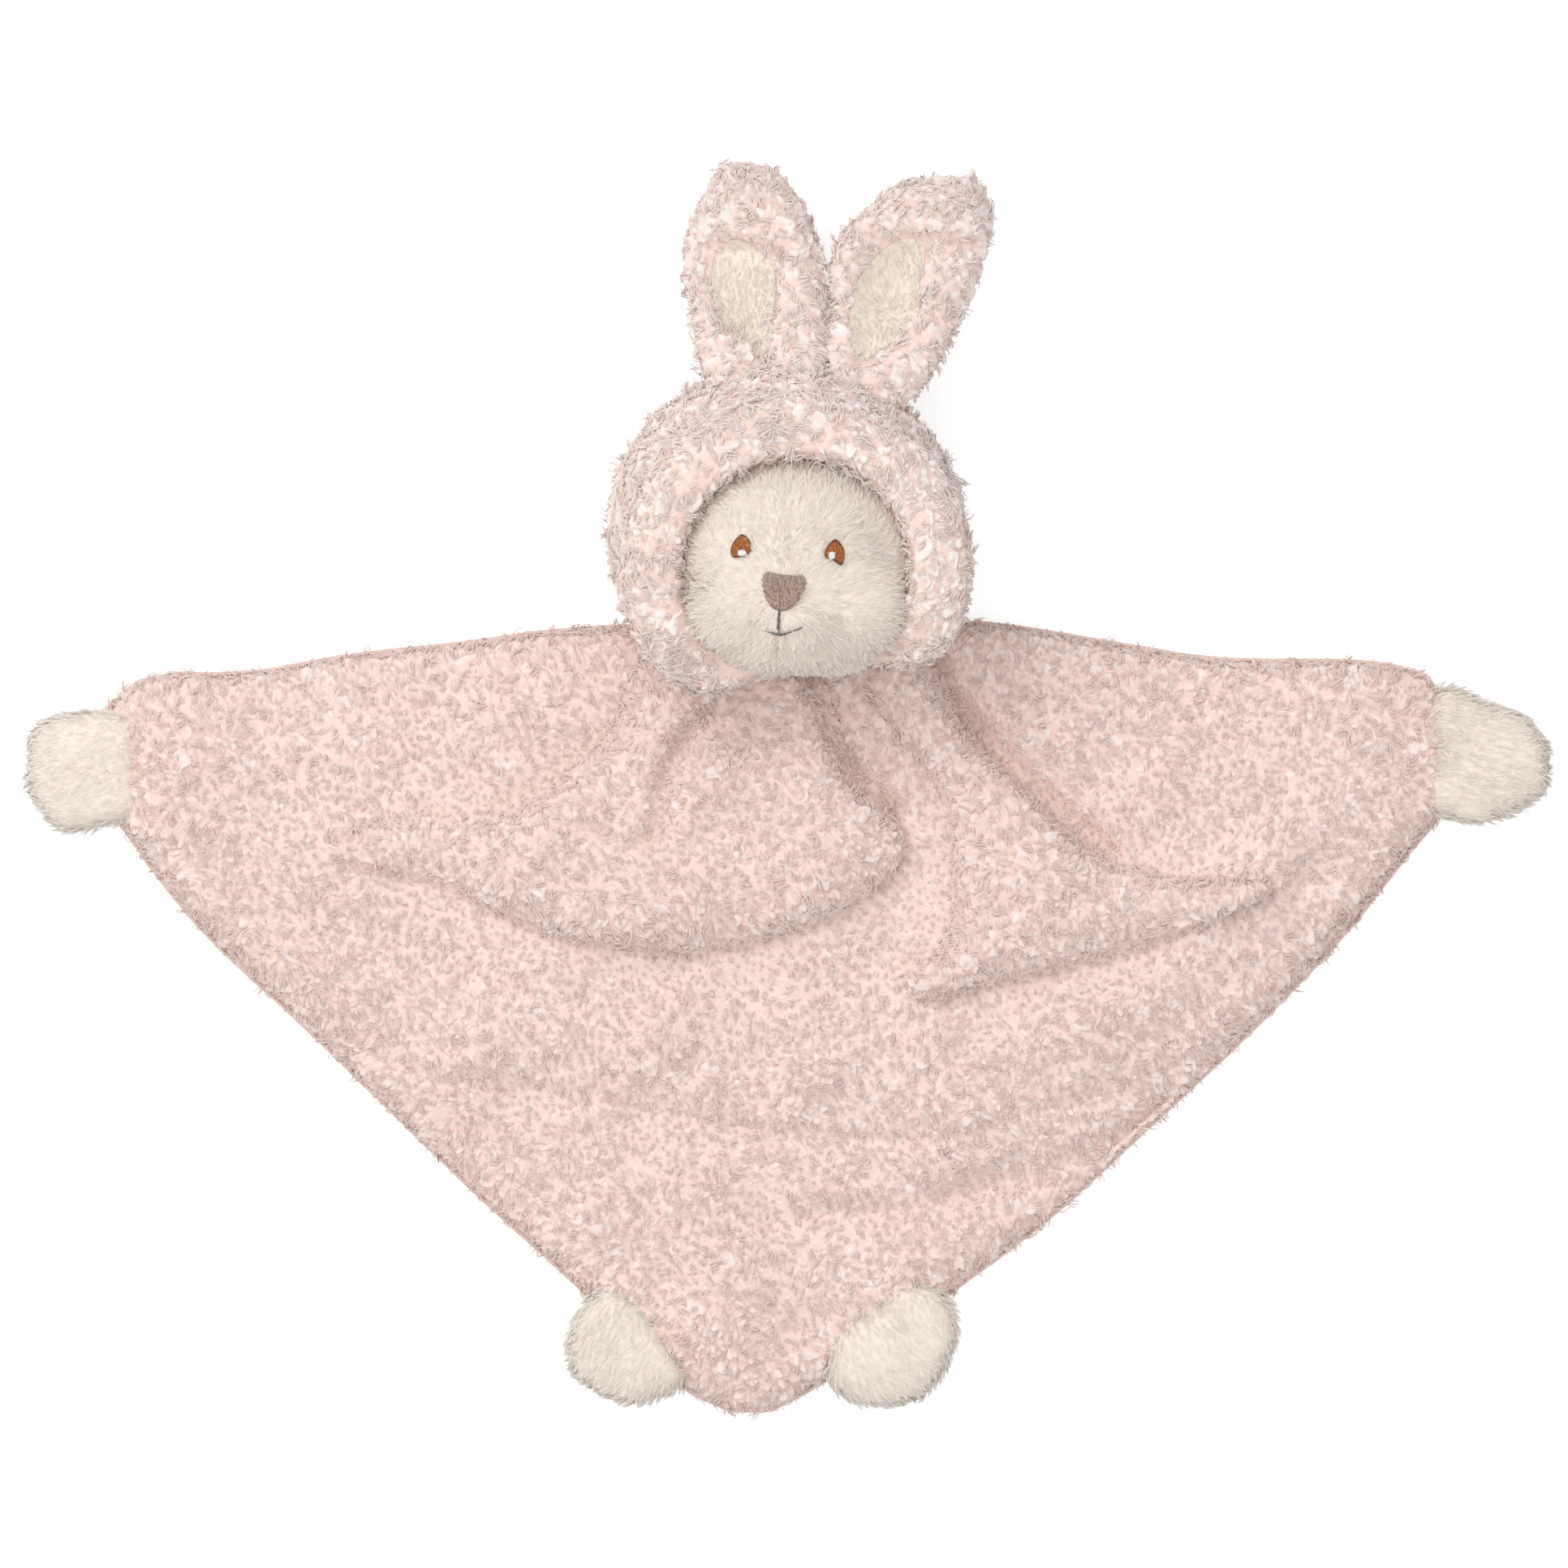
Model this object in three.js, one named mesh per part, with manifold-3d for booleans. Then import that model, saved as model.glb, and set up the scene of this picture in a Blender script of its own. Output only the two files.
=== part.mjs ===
// Comfort blanket: a stuffed hooded head on a gathered three-cornered blanket with paws and feet
// Millimetres, +Z up. The toy lies on its back, +Y points to its ears, and -X is the left of the view
// from above. The origin is on the resting plane, below the middle of the neck line.
import * as THREE from 'three';
import { mergeVertices } from 'three/addons/utils/BufferGeometryUtils.js';
import Module from 'manifold-3d';

const wasm = await Module();
wasm.setup();

// Shared clearances
const gap = 0.3;
const overrun = 4;

// Blanket
const blanketSpan = 356;
const blanketDrop = 192.5;
const backThickness = 2.5;
const edgeHeight = 8.5;
const edgeRound = 9;
const loftHeight = 3;
const seamThreadRadius = 0.7;
const seamNotch = 2;
const clothStep = 8.3;
const edgeStep = 10.7;
const outlineShares = [
  [0, -0.075], [-0.075, -0.09], [-0.16, -0.085], [-0.245, -0.065], [-0.32, -0.05], [-0.4, -0.025],
  [-0.47, -0.02], [-0.5, 0.015], [-0.505, 0.1], [-0.495, 0.175], [-0.47, 0.245], [-0.43, 0.335],
  [-0.355, 0.465], [-0.23, 0.69], [-0.15, 0.825], [-0.09, 0.94], [-0.025, 0.995], [0.035, 0.945],
  [0.13, 0.82], [0.195, 0.73], [0.275, 0.595], [0.35, 0.465], [0.42, 0.33], [0.46, 0.235],
  [0.49, 0.165], [0.5, 0.09], [0.495, 0.02], [0.475, -0.025], [0.435, -0.04], [0.32, -0.045],
  [0.25, -0.065], [0.14, -0.095], [0.07, -0.09],
];

// Folds of the blanket: raised areas with a rolled edge, lower towards the left arm
const drapeHeight = 10;
const drapeRoll = 13;
const drapeShares = [
  [-0.1, -0.015], [-0.05, -0.02], [-0.005, -0.02], [0.025, 0.01], [0.05, 0.095], [0.08, 0.165],
  [0.09, 0.225], [0.055, 0.29], [-0.005, 0.335], [-0.07, 0.36], [-0.13, 0.35], [-0.19, 0.325],
  [-0.245, 0.275], [-0.31, 0.24], [-0.34, 0.215], [-0.28, 0.175], [-0.2, 0.165], [-0.16, 0.105],
  [-0.125, 0.045],
];
const lobeHeight = 9;
const lobeRoll = 14;
const lobeShares = [
  [0.055, -0.02], [0.105, -0.02], [0.135, 0.05], [0.165, 0.11], [0.195, 0.17], [0.23, 0.22],
  [0.29, 0.26], [0.365, 0.27], [0.29, 0.335], [0.225, 0.37], [0.16, 0.4], [0.1, 0.42],
  [0.09, 0.405], [0.12, 0.345], [0.125, 0.255], [0.12, 0.155], [0.095, 0.075],
];
const terraceHeight = 4.5;
const terraceRoll = 30;
const terraceShares = [
  [-0.4, 0.365], [-0.29, 0.5], [-0.16, 0.55], [-0.02, 0.595], [0.1, 0.61], [0.22, 0.555],
  [0.32, 0.485], [0.395, 0.375], [0.56, 0.055], [0.32, -0.165], [-0.34, -0.165], [-0.55, 0.055],
];
const lowSideLossShare = 0.5;
const lowSideShares = [0.14, 0.33];

// Creases of the blanket, each a groove along a line
const neckCreaseDepth = 4;
const neckCreaseWidth = 8;
const neckCreaseShares = [[-0.057, 0.03], [-0.079, 0.076], [-0.087, 0.12], [-0.096, 0.194]];
const drapeCreaseDepth = 4;
const drapeCreaseWidth = 8;
const drapeCreaseShares = [[0.04, 0.08], [0.06, 0.136], [0.08, 0.16]];
const lobeCreaseDepth = 4;
const lobeCreaseWidth = 8;
const lobeCreaseShares = [[0.15, 0.069], [0.196, 0.151], [0.239, 0.217]];
const sideCreaseDepth = 3;
const sideCreaseWidth = 9;
const sideCreaseShares = [[-0.13, 0.07], [-0.163, 0.12], [-0.21, 0.18]];
const lowCreaseDepth = 3.5;
const lowCreaseWidth = 9;
const lowCreaseShares = [[-0.005, 0.725], [0.11, 0.705], [0.2, 0.655], [0.28, 0.585]];

// Head: the hood's outer size, its wall, and the face ball in its opening
const headWidth = 97;
const headLength = 91;
const headDepth = 78;
const headCentreX = 0.5;
const headBottomY = -3.5;
const restFlat = 0.5;
const hoodWall = 7;
const hoodSeamGap = 1.6;
const hoodThreadRadius = 0.5;
const faceCentreX = 3.1;
const faceCentreY = 31.4;
const openingWidth = 55;
const openingLength = 54;
const faceWidth = 66;
const faceLength = 64;
const faceRise = 3.5;
const faceDepth = 60;
const muzzleWidth = 32;
const muzzleLength = 26;
const muzzleDrop = 12.5;
const muzzleRise = 1;
const muzzleDepth = 46;
const chinSlotWidth = 27;
const throatSink = 2;
const neckThreadRadius = 0.8;
const neckReach = THREE.MathUtils.degToRad(43);

// Face embroidery, placed from the middle of the face ball
const stitchHeight = 1;
const eyeWidth = 5.2;
const eyeLength = 6.8;
const eyeSpacing = 24.5;
const eyeShift = -2.1;
const eyeRise = 4.9;
const eyeTilt = THREE.MathUtils.degToRad(9);
const glintWidth = 2.5;
const glintLength = 1.7;
const glintHeight = 0.6;
const noseWidth = 11.4;
const noseLength = 9.9;
const noseTopY = -1.1;
const noseShift = -3.1;
const mouthThreadRadius = 0.45;
const philtrumLength = 5.4;
const smileWidth = 9;
const smileShift = 1.5;
const smileSag = 0.9;
const chinTuckLength = 4.6;
const chinTuckDrop = 1.7;

// Ears
const earLength = 58;
const earWidth = 37;
const earThickness = 15;
const earCupDepth = 6;
const earRoot = 12;
const liningThickness = 1.4;
const liningLength = 34;
const liningWidth = 17;
const liningStart = 3;
const earRise = 5.5;
const earSlope = THREE.MathUtils.degToRad(26);
const ears = {
  left: { acrossShare: -0.212, lean: THREE.MathUtils.degToRad(2) },
  right: { acrossShare: 0.526, lean: THREE.MathUtils.degToRad(-18) },
};

// Paws and feet: each is sewn to the blanket's edge at a share of its outline's length
const limbWall = 2.6;
const limbRoot = 6;
const limbSeamWidth = 1;
const limbs = {
  arm_left: { edgeShare: 0.2205, turn: -2, width: 34, length: 21.5, thickness: 16 },
  arm_right: { edgeShare: 0.785, turn: -8, width: 34, length: 23.5, thickness: 16 },
  foot_left: { edgeShare: 0.4535, turn: 3, width: 36, length: 16.5, thickness: 15 },
  foot_right: { edgeShare: 0.541, turn: -2, width: 35, length: 16.5, thickness: 15 },
};

// Counts of faces round and along the forms
const headAround = 28;
const headAlong = 16;
const limbAround = 14;
const limbAlong = 7;
const earAround = 16;
const earAlong = 9;
const patchAround = 18;

// Sizes worked out from the ones above
const frontFloor = backThickness + gap;
const headCentre = new THREE.Vector3(
  headCentreX, headBottomY + headLength / 2, headDepth / 2 - restFlat);
const headRadii = new THREE.Vector3(headWidth / 2, headLength / 2, headDepth / 2);
const faceCentre = new THREE.Vector3(
  faceCentreX, faceCentreY, headCentre.z + headRadii.z + faceRise - faceDepth / 2);
const faceRadii = new THREE.Vector3(faceWidth / 2, faceLength / 2, faceDepth / 2);
const muzzleCentre = new THREE.Vector3(
  faceCentre.x, faceCentre.y - muzzleDrop, faceCentre.z + faceRadii.z + muzzleRise - muzzleDepth / 2);
const muzzleRadii = new THREE.Vector3(muzzleWidth / 2, muzzleLength / 2, muzzleDepth / 2);

// Colours
const fabric = (color, roughness = 0.95) => (
  new THREE.MeshStandardMaterial({ color, roughness, metalness: 0 })
);
const pinkSherpa = fabric('#ecd2ca');
const creamPlush = fabric('#eee1d6');
const creamLining = fabric('#e6d3c4');
const whiteFilling = fabric('#f4f2ee');
const pinkThread = fabric('#e3bfb4', 0.8);
const creamThread = fabric('#e9dccb', 0.8);
const brownThread = fabric('#a9662f', 0.55);
const whiteThread = fabric('#f6f1ec', 0.55);
const taupeThread = fabric('#a48979', 0.6);
const greyThread = fabric('#6b625d', 0.7);

// Geometry and solids
function geometryOf(points, faces) {
  const geometry = new THREE.BufferGeometry();
  const volume = faces.reduce(
    (sum, [a, b, c]) => sum + points[a].dot(points[b].clone().cross(points[c])), 0);
  const turned = volume < 0 ? faces.map(([a, b, c]) => [a, c, b]) : faces;
  geometry.setAttribute(
    'position', new THREE.Float32BufferAttribute(points.flatMap((p) => [p.x, p.y, p.z]), 3));
  geometry.setIndex(turned.flat());
  return geometry;
}

function solidOf(geometry) {
  const bare = geometry.clone();
  bare.deleteAttribute('normal');
  bare.deleteAttribute('uv');
  const merged = mergeVertices(bare);
  return new wasm.Manifold(new wasm.Mesh({
    numProp: 3,
    vertProperties: new Float32Array(merged.attributes.position.array),
    triVerts: new Uint32Array(merged.index.array),
  }));
}

function geometryFrom(solid) {
  const { vertProperties, triVerts } = solid.getMesh();
  const geometry = new THREE.BufferGeometry();
  geometry.setAttribute('position', new THREE.Float32BufferAttribute(vertProperties, 3));
  geometry.setIndex(new THREE.Uint32BufferAttribute(triVerts, 1));
  return geometry;
}

// A body skinned over rings of equal count: a fan to the middle closes each end, or the last
// ring joins the first
function skin(rings, looped = false) {
  const around = rings[0].length;
  const points = rings.flat();
  const faces = [];
  const strips = looped ? rings.length : rings.length - 1;
  for (let i = 0; i < strips; i += 1) {
    const low = i * around;
    const high = ((i + 1) % rings.length) * around;
    for (let j = 0; j < around; j += 1) {
      const next = (j + 1) % around;
      faces.push([low + j, low + next, high + next], [low + j, high + next, high + j]);
    }
  }
  if (!looped) {
    for (const [start, flip] of [[0, true], [(rings.length - 1) * around, false]]) {
      const middle = new THREE.Vector3();
      for (let j = 0; j < around; j += 1) middle.addScaledVector(points[start + j], 1 / around);
      points.push(middle);
      for (let j = 0; j < around; j += 1) {
        const pair = [start + j, start + ((j + 1) % around)];
        faces.push([...(flip ? pair.reverse() : pair), points.length - 1]);
      }
    }
  }
  return geometryOf(points, faces);
}

function ellipsoid(centre, radii, grow = 0) {
  const geometry = new THREE.SphereGeometry(1, headAround, headAlong);
  geometry.rotateX(Math.PI / 2);
  geometry.scale(radii.x + grow, radii.y + grow, radii.z + grow);
  geometry.translate(centre.x, centre.y, centre.z);
  return solidOf(geometry);
}

function slab(low, high) {
  const geometry = new THREE.BoxGeometry(high.x - low.x, high.y - low.y, high.z - low.z);
  geometry.translate((low.x + high.x) / 2, (low.y + high.y) / 2, (low.z + high.z) / 2);
  return solidOf(geometry);
}

// The upper surface of an ellipsoid above a place, or its middle level outside it
function ellipsoidTop(centre, radii, x, y) {
  const reach = 1 - ((x - centre.x) / radii.x) ** 2 - ((y - centre.y) / radii.y) ** 2;
  return centre.z + radii.z * Math.sqrt(Math.max(reach, 0));
}

// A thread along level points, with its section square to its way
function thread(points, radius, sides, looped = false) {
  const rings = points.map((point, i) => {
    const before = points[looped ? (i + points.length - 1) % points.length : Math.max(i - 1, 0)];
    const after = points[looped ? (i + 1) % points.length : Math.min(i + 1, points.length - 1)];
    const way = after.clone().sub(before).normalize();
    const side = new THREE.Vector3(0, 0, 1).cross(way).normalize();
    const rise = way.clone().cross(side);
    return Array.from({ length: sides }, (_, j) => {
      const angle = (2 * Math.PI * j) / sides;
      return point.clone()
        .addScaledVector(side, radius * Math.cos(angle))
        .addScaledVector(rise, radius * Math.sin(angle));
    });
  });
  return skin(rings, looped);
}

// Blanket outline, walked from the middle of the top edge past the left arm
const toBlanket = ([x, y]) => new THREE.Vector3(x * blanketSpan, -y * blanketDrop, 0);
const outlineCurve = new THREE.CatmullRomCurve3(outlineShares.map(toBlanket), true, 'centripetal');
const edgePoints = Math.round(outlineCurve.getLength() / edgeStep);
const outline = outlineCurve.getSpacedPoints(edgePoints).slice(0, edgePoints);
const outwards = outline.map((_, i) => {
  const way = outline[(i + 1) % edgePoints].clone().sub(outline[(i + edgePoints - 1) % edgePoints]);
  return new THREE.Vector3(way.y, -way.x, 0).normalize();
});

function insetRing(inset, level) {
  return outline.map((point, i) => {
    const moved = point.clone().addScaledVector(outwards[i], -inset);
    return moved.setZ(typeof level === 'function' ? level(moved.x, moved.y) : level);
  });
}

function distanceToRun(a, b, x, y) {
  const run = new THREE.Vector2(b.x - a.x, b.y - a.y);
  const along = ((x - a.x) * run.x + (y - a.y) * run.y) / run.lengthSq();
  const share = Math.min(Math.max(along, 0), 1);
  return Math.hypot(a.x + run.x * share - x, a.y + run.y * share - y);
}

// Distance inside a closed line, negative outside it
function depthInside(loop, x, y) {
  let nearest = Infinity;
  let inside = false;
  loop.forEach((a, i) => {
    const b = loop[(i + 1) % loop.length];
    nearest = Math.min(nearest, distanceToRun(a, b, x, y));
    const crosses = a.y > y !== b.y > y;
    if (crosses && x < a.x + ((y - a.y) / (b.y - a.y)) * (b.x - a.x)) inside = !inside;
  });
  return inside ? nearest : -nearest;
}

function distanceToLine(line, x, y) {
  return Math.min(...line.slice(1).map((b, i) => distanceToRun(line[i], b, x, y)));
}

const raised = [
  { loop: drapeShares.map(toBlanket), height: drapeHeight, roll: drapeRoll },
  { loop: lobeShares.map(toBlanket), height: lobeHeight, roll: lobeRoll },
  { loop: terraceShares.map(toBlanket), height: terraceHeight, roll: terraceRoll },
];
const creases = [
  { line: neckCreaseShares.map(toBlanket), depth: neckCreaseDepth, width: neckCreaseWidth },
  { line: drapeCreaseShares.map(toBlanket), depth: drapeCreaseDepth, width: drapeCreaseWidth },
  { line: lobeCreaseShares.map(toBlanket), depth: lobeCreaseDepth, width: lobeCreaseWidth },
  { line: sideCreaseShares.map(toBlanket), depth: sideCreaseDepth, width: sideCreaseWidth },
  { line: lowCreaseShares.map(toBlanket), depth: lowCreaseDepth, width: lowCreaseWidth },
];

// Height of a rolled edge, as a share: a quarter circle from its line inwards
function rolled(depth, radius) {
  const short = 1 - Math.min(Math.max(depth, 0) / radius, 1);
  return Math.sqrt(1 - short ** 2);
}

// The upper surface of the blanket: rounded edge, loft, raised folds and creases
function blanketTop(x, y) {
  const inside = depthInside(outline, x, y);
  const loft = THREE.MathUtils.smoothstep(inside, 0, 3 * edgeRound);
  let height = edgeHeight * rolled(inside, edgeRound) + loftHeight * loft;
  const [lowStart, lowEnd] = lowSideShares.map((share) => share * blanketSpan);
  const kept = 1 - lowSideLossShare * THREE.MathUtils.smoothstep(-x, lowStart, lowEnd);
  for (const { loop, height: lift, roll } of raised) {
    height += lift * kept * rolled(depthInside(loop, x, y), roll);
  }
  for (const { line, depth, width } of creases) {
    height -= depth * Math.exp(-((distanceToLine(line, x, y) / width) ** 2) * 2);
  }
  return frontFloor + height;
}

// Delaunay triangles of flat points
function triangulate(points) {
  const box = new THREE.Box3().setFromPoints(points);
  const size = box.getSize(new THREE.Vector3()).length();
  const middle = box.getCenter(new THREE.Vector3());
  const all = [...points];
  for (const angle of [0, 1, 2].map((k) => (2 * Math.PI * k) / 3)) {
    const far = new THREE.Vector3(Math.cos(angle), Math.sin(angle), 0);
    all.push(far.multiplyScalar(9 * size).add(middle));
  }
  const circle = (corners) => {
    const [a, b, c] = corners.map((i) => all[i]);
    const d = 2 * (a.x * (b.y - c.y) + b.x * (c.y - a.y) + c.x * (a.y - b.y));
    const [aa, bb, cc] = [a, b, c].map((p) => p.x ** 2 + p.y ** 2);
    const x = (aa * (b.y - c.y) + bb * (c.y - a.y) + cc * (a.y - b.y)) / d;
    const y = (aa * (c.x - b.x) + bb * (a.x - c.x) + cc * (b.x - a.x)) / d;
    return { corners, x, y, reach: Math.hypot(a.x - x, a.y - y) };
  };
  let triangles = [circle([points.length, points.length + 1, points.length + 2])];
  points.forEach((point, index) => {
    const open = new Map();
    triangles = triangles.filter((triangle) => {
      if (Math.hypot(point.x - triangle.x, point.y - triangle.y) >= triangle.reach) return true;
      const [a, b, c] = triangle.corners;
      for (const [from, to] of [[a, b], [b, c], [c, a]]) {
        const key = `${Math.min(from, to)} ${Math.max(from, to)}`;
        if (open.has(key)) open.delete(key);
        else open.set(key, [from, to]);
      }
      return false;
    });
    for (const [from, to] of open.values()) triangles.push(circle([from, to, index]));
  });
  return triangles.map(({ corners }) => corners)
    .filter((corners) => corners.every((i) => i < points.length));
}

// The front panel: an edge rolled over in rings, then an even net of points under the folds
function blanketFrontGeometry() {
  const rings = [
    insetRing(seamNotch, frontFloor),
    insetRing(0, frontFloor + edgeHeight / 6),
    insetRing(edgeRound / 7, frontFloor + edgeHeight * 0.55),
    insetRing(edgeRound / 2, blanketTop),
  ];
  const inner = rings.at(-1);
  const net = [];
  const rise = (clothStep * Math.sqrt(3)) / 2;
  const box = new THREE.Box3().setFromPoints(outline);
  for (let row = 0, y = box.min.y; y < box.max.y; row += 1, y += rise) {
    for (let x = box.min.x + (row % 2) * (clothStep / 2); x < box.max.x; x += clothStep) {
      if (depthInside(inner, x, y) > clothStep / 2) {
        net.push(new THREE.Vector3(x, y, blanketTop(x, y)));
      }
    }
  }
  const field = [...inner, ...net];
  const cover = triangulate(field).filter((corners) => {
    const middle = corners.reduce((sum, i) => sum.addScaledVector(field[i], 1 / 3), new THREE.Vector3());
    return depthInside(inner, middle.x, middle.y) > 0;
  });
  const underside = THREE.ShapeUtils.triangulateShape(
    rings[0].map((p) => new THREE.Vector2(p.x, p.y)), []);
  return closeRings(rings, net, cover, underside);
}

// Rings joined in order, a flat floor in the first and a given cover from the last inwards
function closeRings(rings, net, cover, floor) {
  const around = rings[0].length;
  const points = [...rings.flat(), ...net];
  const faces = [];
  for (let i = 0; i < rings.length - 1; i += 1) {
    for (let j = 0; j < around; j += 1) {
      const next = (j + 1) % around;
      const low = i * around;
      const high = low + around;
      faces.push([low + j, low + next, high + next], [low + j, high + next, high + j]);
    }
  }
  const facing = (corners, base, up) => {
    const [a, b, c] = corners.map((i) => points[i + base]);
    const turns = (b.x - a.x) * (c.y - a.y) - (b.y - a.y) * (c.x - a.x) > 0;
    const ordered = turns === up ? corners : [corners[0], corners[2], corners[1]];
    return ordered.map((i) => i + base);
  };
  const counterclockwise = THREE.ShapeUtils.area(rings[0]) > 0;
  for (const corners of floor) faces.push(facing(corners, 0, !counterclockwise));
  const last = (rings.length - 1) * around;
  for (const corners of cover) faces.push(facing(corners, last, counterclockwise));
  return geometryOf(points, faces);
}

function blanketBackGeometry() {
  const rings = [
    insetRing(seamNotch, 0),
    insetRing(0, backThickness * 0.4),
    insetRing(seamNotch, backThickness),
  ];
  const sheet = THREE.ShapeUtils.triangulateShape(
    rings[0].map((p) => new THREE.Vector2(p.x, p.y)), []);
  return closeRings(rings, [], sheet, sheet);
}

function blanketSeamGeometry() {
  const ring = insetRing(seamThreadRadius / 2, backThickness + gap / 2);
  return thread(ring, seamThreadRadius, 4, true);
}

// Neck thread: it runs round the head below the chin, at the level of the folds in front of it
function neckPath() {
  const off = gap + neckThreadRadius;
  const steps = 24;
  return Array.from({ length: steps + 1 }, (_, i) => {
    const angle = neckReach * ((2 * i) / steps - 1);
    const point = new THREE.Vector3(headCentre.x, headBottomY, headCentre.z);
    for (let turn = 0; turn < 4; turn += 1) {
      point.z = blanketTop(point.x, headBottomY) + off;
      const round = Math.sqrt(1 - ((point.z - headCentre.z) / (headRadii.z + off)) ** 2);
      point.x = headCentre.x + (headRadii.x + off) * round * Math.sin(angle);
      point.y = headCentre.y - (headRadii.y + off) * round * Math.cos(angle);
    }
    return point;
  });
}

// Head
const headClearance = ellipsoid(headCentre, headRadii, gap);
const headOuter = ellipsoid(headCentre, headRadii);
const headInner = ellipsoid(headCentre, headRadii, -hoodWall);
const wide = headWidth + headLength;
const above = (z) => slab(
  new THREE.Vector3(-wide, -wide, z), new THREE.Vector3(wide, wide, z + wide));
const below = (y) => slab(
  new THREE.Vector3(-wide, -wide, -wide), new THREE.Vector3(wide, y, wide));

function openingSolid(grow) {
  const geometry = new THREE.CylinderGeometry(1, 1, headDepth, headAround);
  geometry.rotateX(Math.PI / 2);
  geometry.scale(openingWidth / 2 + grow, openingLength / 2 + grow, 1);
  geometry.translate(faceCentre.x, faceCentre.y, headCentre.z + headDepth / 2);
  const chin = slab(
    new THREE.Vector3(faceCentre.x - chinSlotWidth / 2 - grow, headBottomY - overrun, headCentre.z),
    new THREE.Vector3(
      faceCentre.x + chinSlotWidth / 2 + grow, faceCentre.y, headCentre.z + headDepth));
  return solidOf(geometry).add(chin);
}

function headSolids() {
  const shell = headOuter.subtract(headInner);
  const front = shell.intersect(above(headCentre.z + hoodSeamGap / 2)).subtract(openingSolid(0));
  const back = shell.subtract(above(headCentre.z - hoodSeamGap / 2)).intersect(above(0));
  const filling = ellipsoid(headCentre, headRadii, -hoodWall - gap);
  const ball = ellipsoid(faceCentre, faceRadii, -gap).add(ellipsoid(muzzleCentre, muzzleRadii));
  const throat = ellipsoid(headCentre, headRadii, -throatSink);
  const face = ball.add(throat.intersect(below(faceCentre.y - openingLength / 2)))
    .subtract(headInner).intersect(above(headCentre.z + hoodSeamGap / 2))
    .intersect(openingSolid(-gap));
  return { front, back, filling, face };
}

function hoodSeamGeometry() {
  const points = [];
  const steps = 2 * headAround;
  for (let i = 0; i < steps; i += 1) {
    const angle = (2 * Math.PI * i) / steps;
    points.push(new THREE.Vector3(
      headCentre.x + (headRadii.x - 2 * hoodThreadRadius) * Math.cos(angle),
      headCentre.y + (headRadii.y - 2 * hoodThreadRadius) * Math.sin(angle),
      headCentre.z));
  }
  return thread(points, hoodThreadRadius, 4, true);
}

// The face's front surface, from its ball and muzzle
function faceTop(x, y) {
  return Math.max(
    ellipsoidTop(faceCentre, faceRadii, x, y), ellipsoidTop(muzzleCentre, muzzleRadii, x, y));
}

// The point above a flat place that stands off a surface by a lift, square to the surface
function standOff(surface, x, y, lift) {
  const step = stitchHeight / 4;
  const slopeX = (surface(x + step, y) - surface(x - step, y)) / (2 * step);
  const slopeY = (surface(x, y + step) - surface(x, y - step)) / (2 * step);
  const normal = new THREE.Vector3(-slopeX, -slopeY, 1).normalize();
  return new THREE.Vector3(x, y, surface(x, y)).addScaledVector(normal, lift);
}

// A domed patch of stitches on a surface, inside a flat outline about its own middle
function patch(middle, loop, surface, height, lift = gap) {
  const level = (share, rise) => loop.map(
    (p) => standOff(surface, middle.x + p.x * share, middle.y + p.y * share, rise));
  return skin([
    level(0.3, lift), level(0.65, lift), level(1, lift),
    level(0.95, lift + 0.6 * height), level(0.65, lift + height), level(0.3, lift + height),
  ]);
}

function ovalLoop(width, length, tilt) {
  return Array.from({ length: patchAround }, (_, i) => {
    const angle = (2 * Math.PI * i) / patchAround;
    return new THREE.Vector2((width / 2) * Math.cos(angle), (length / 2) * Math.sin(angle))
      .rotateAround(new THREE.Vector2(), tilt);
  });
}

// The nose: a wide top that narrows to a rounded tip, its middle at the top edge's middle
function noseLoop() {
  const shape = new THREE.Shape();
  const half = noseWidth / 2;
  const brow = noseLength * 0.3;
  shape.moveTo(-half, -brow / 2);
  shape.quadraticCurveTo(-half, 0, -half * 0.6, 0);
  shape.lineTo(half * 0.6, 0);
  shape.quadraticCurveTo(half, 0, half, -brow / 2);
  shape.quadraticCurveTo(half * 0.8, -noseLength * 0.9, 0, -noseLength);
  shape.quadraticCurveTo(-half * 0.8, -noseLength * 0.9, -half, -brow / 2);
  return shape.getSpacedPoints(patchAround).slice(0, patchAround)
    .map((p) => new THREE.Vector2(p.x, p.y + noseLength / 2));
}

// A line of stitches laid on the face through flat points
function faceThread(flatPoints) {
  const curve = new THREE.SplineCurve(flatPoints);
  const points = curve.getSpacedPoints(8).map(
    (p) => standOff(faceTop, p.x, p.y, gap + mouthThreadRadius));
  return thread(points, mouthThreadRadius, 6);
}

// Ear, in its own frame: x across, y from the hood to the tip, z to the front
function earHalfWidth(share) {
  const tip = Math.max((share - 0.62) / 0.38, 0);
  return (earWidth / 2) * (0.72 + 0.28 * Math.sin(Math.PI * Math.min(share / 1.1, 1)))
    * Math.sqrt(Math.max(1 - tip ** 2.8, 0.03));
}

function earHalfThickness(share) {
  const tip = Math.max((share - 0.75) / 0.25, 0);
  return (earThickness / 2) * (0.8 + 0.2 * Math.sin(Math.PI * share))
    * Math.sqrt(Math.max(1 - tip ** 2, 0.05));
}

function earFront(x, share) {
  const half = earHalfWidth(share);
  const across = Math.min(Math.abs(x) / half, 1);
  const along = THREE.MathUtils.smoothstep(share, 0.05, 0.3)
    * (1 - THREE.MathUtils.smoothstep(share, 0.6, 0.9));
  const cup = earCupDepth * along * Math.max(1 - (across / 0.7) ** 2, 0);
  return earHalfThickness(share) * Math.sqrt(1 - across ** 2) - cup;
}

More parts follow.
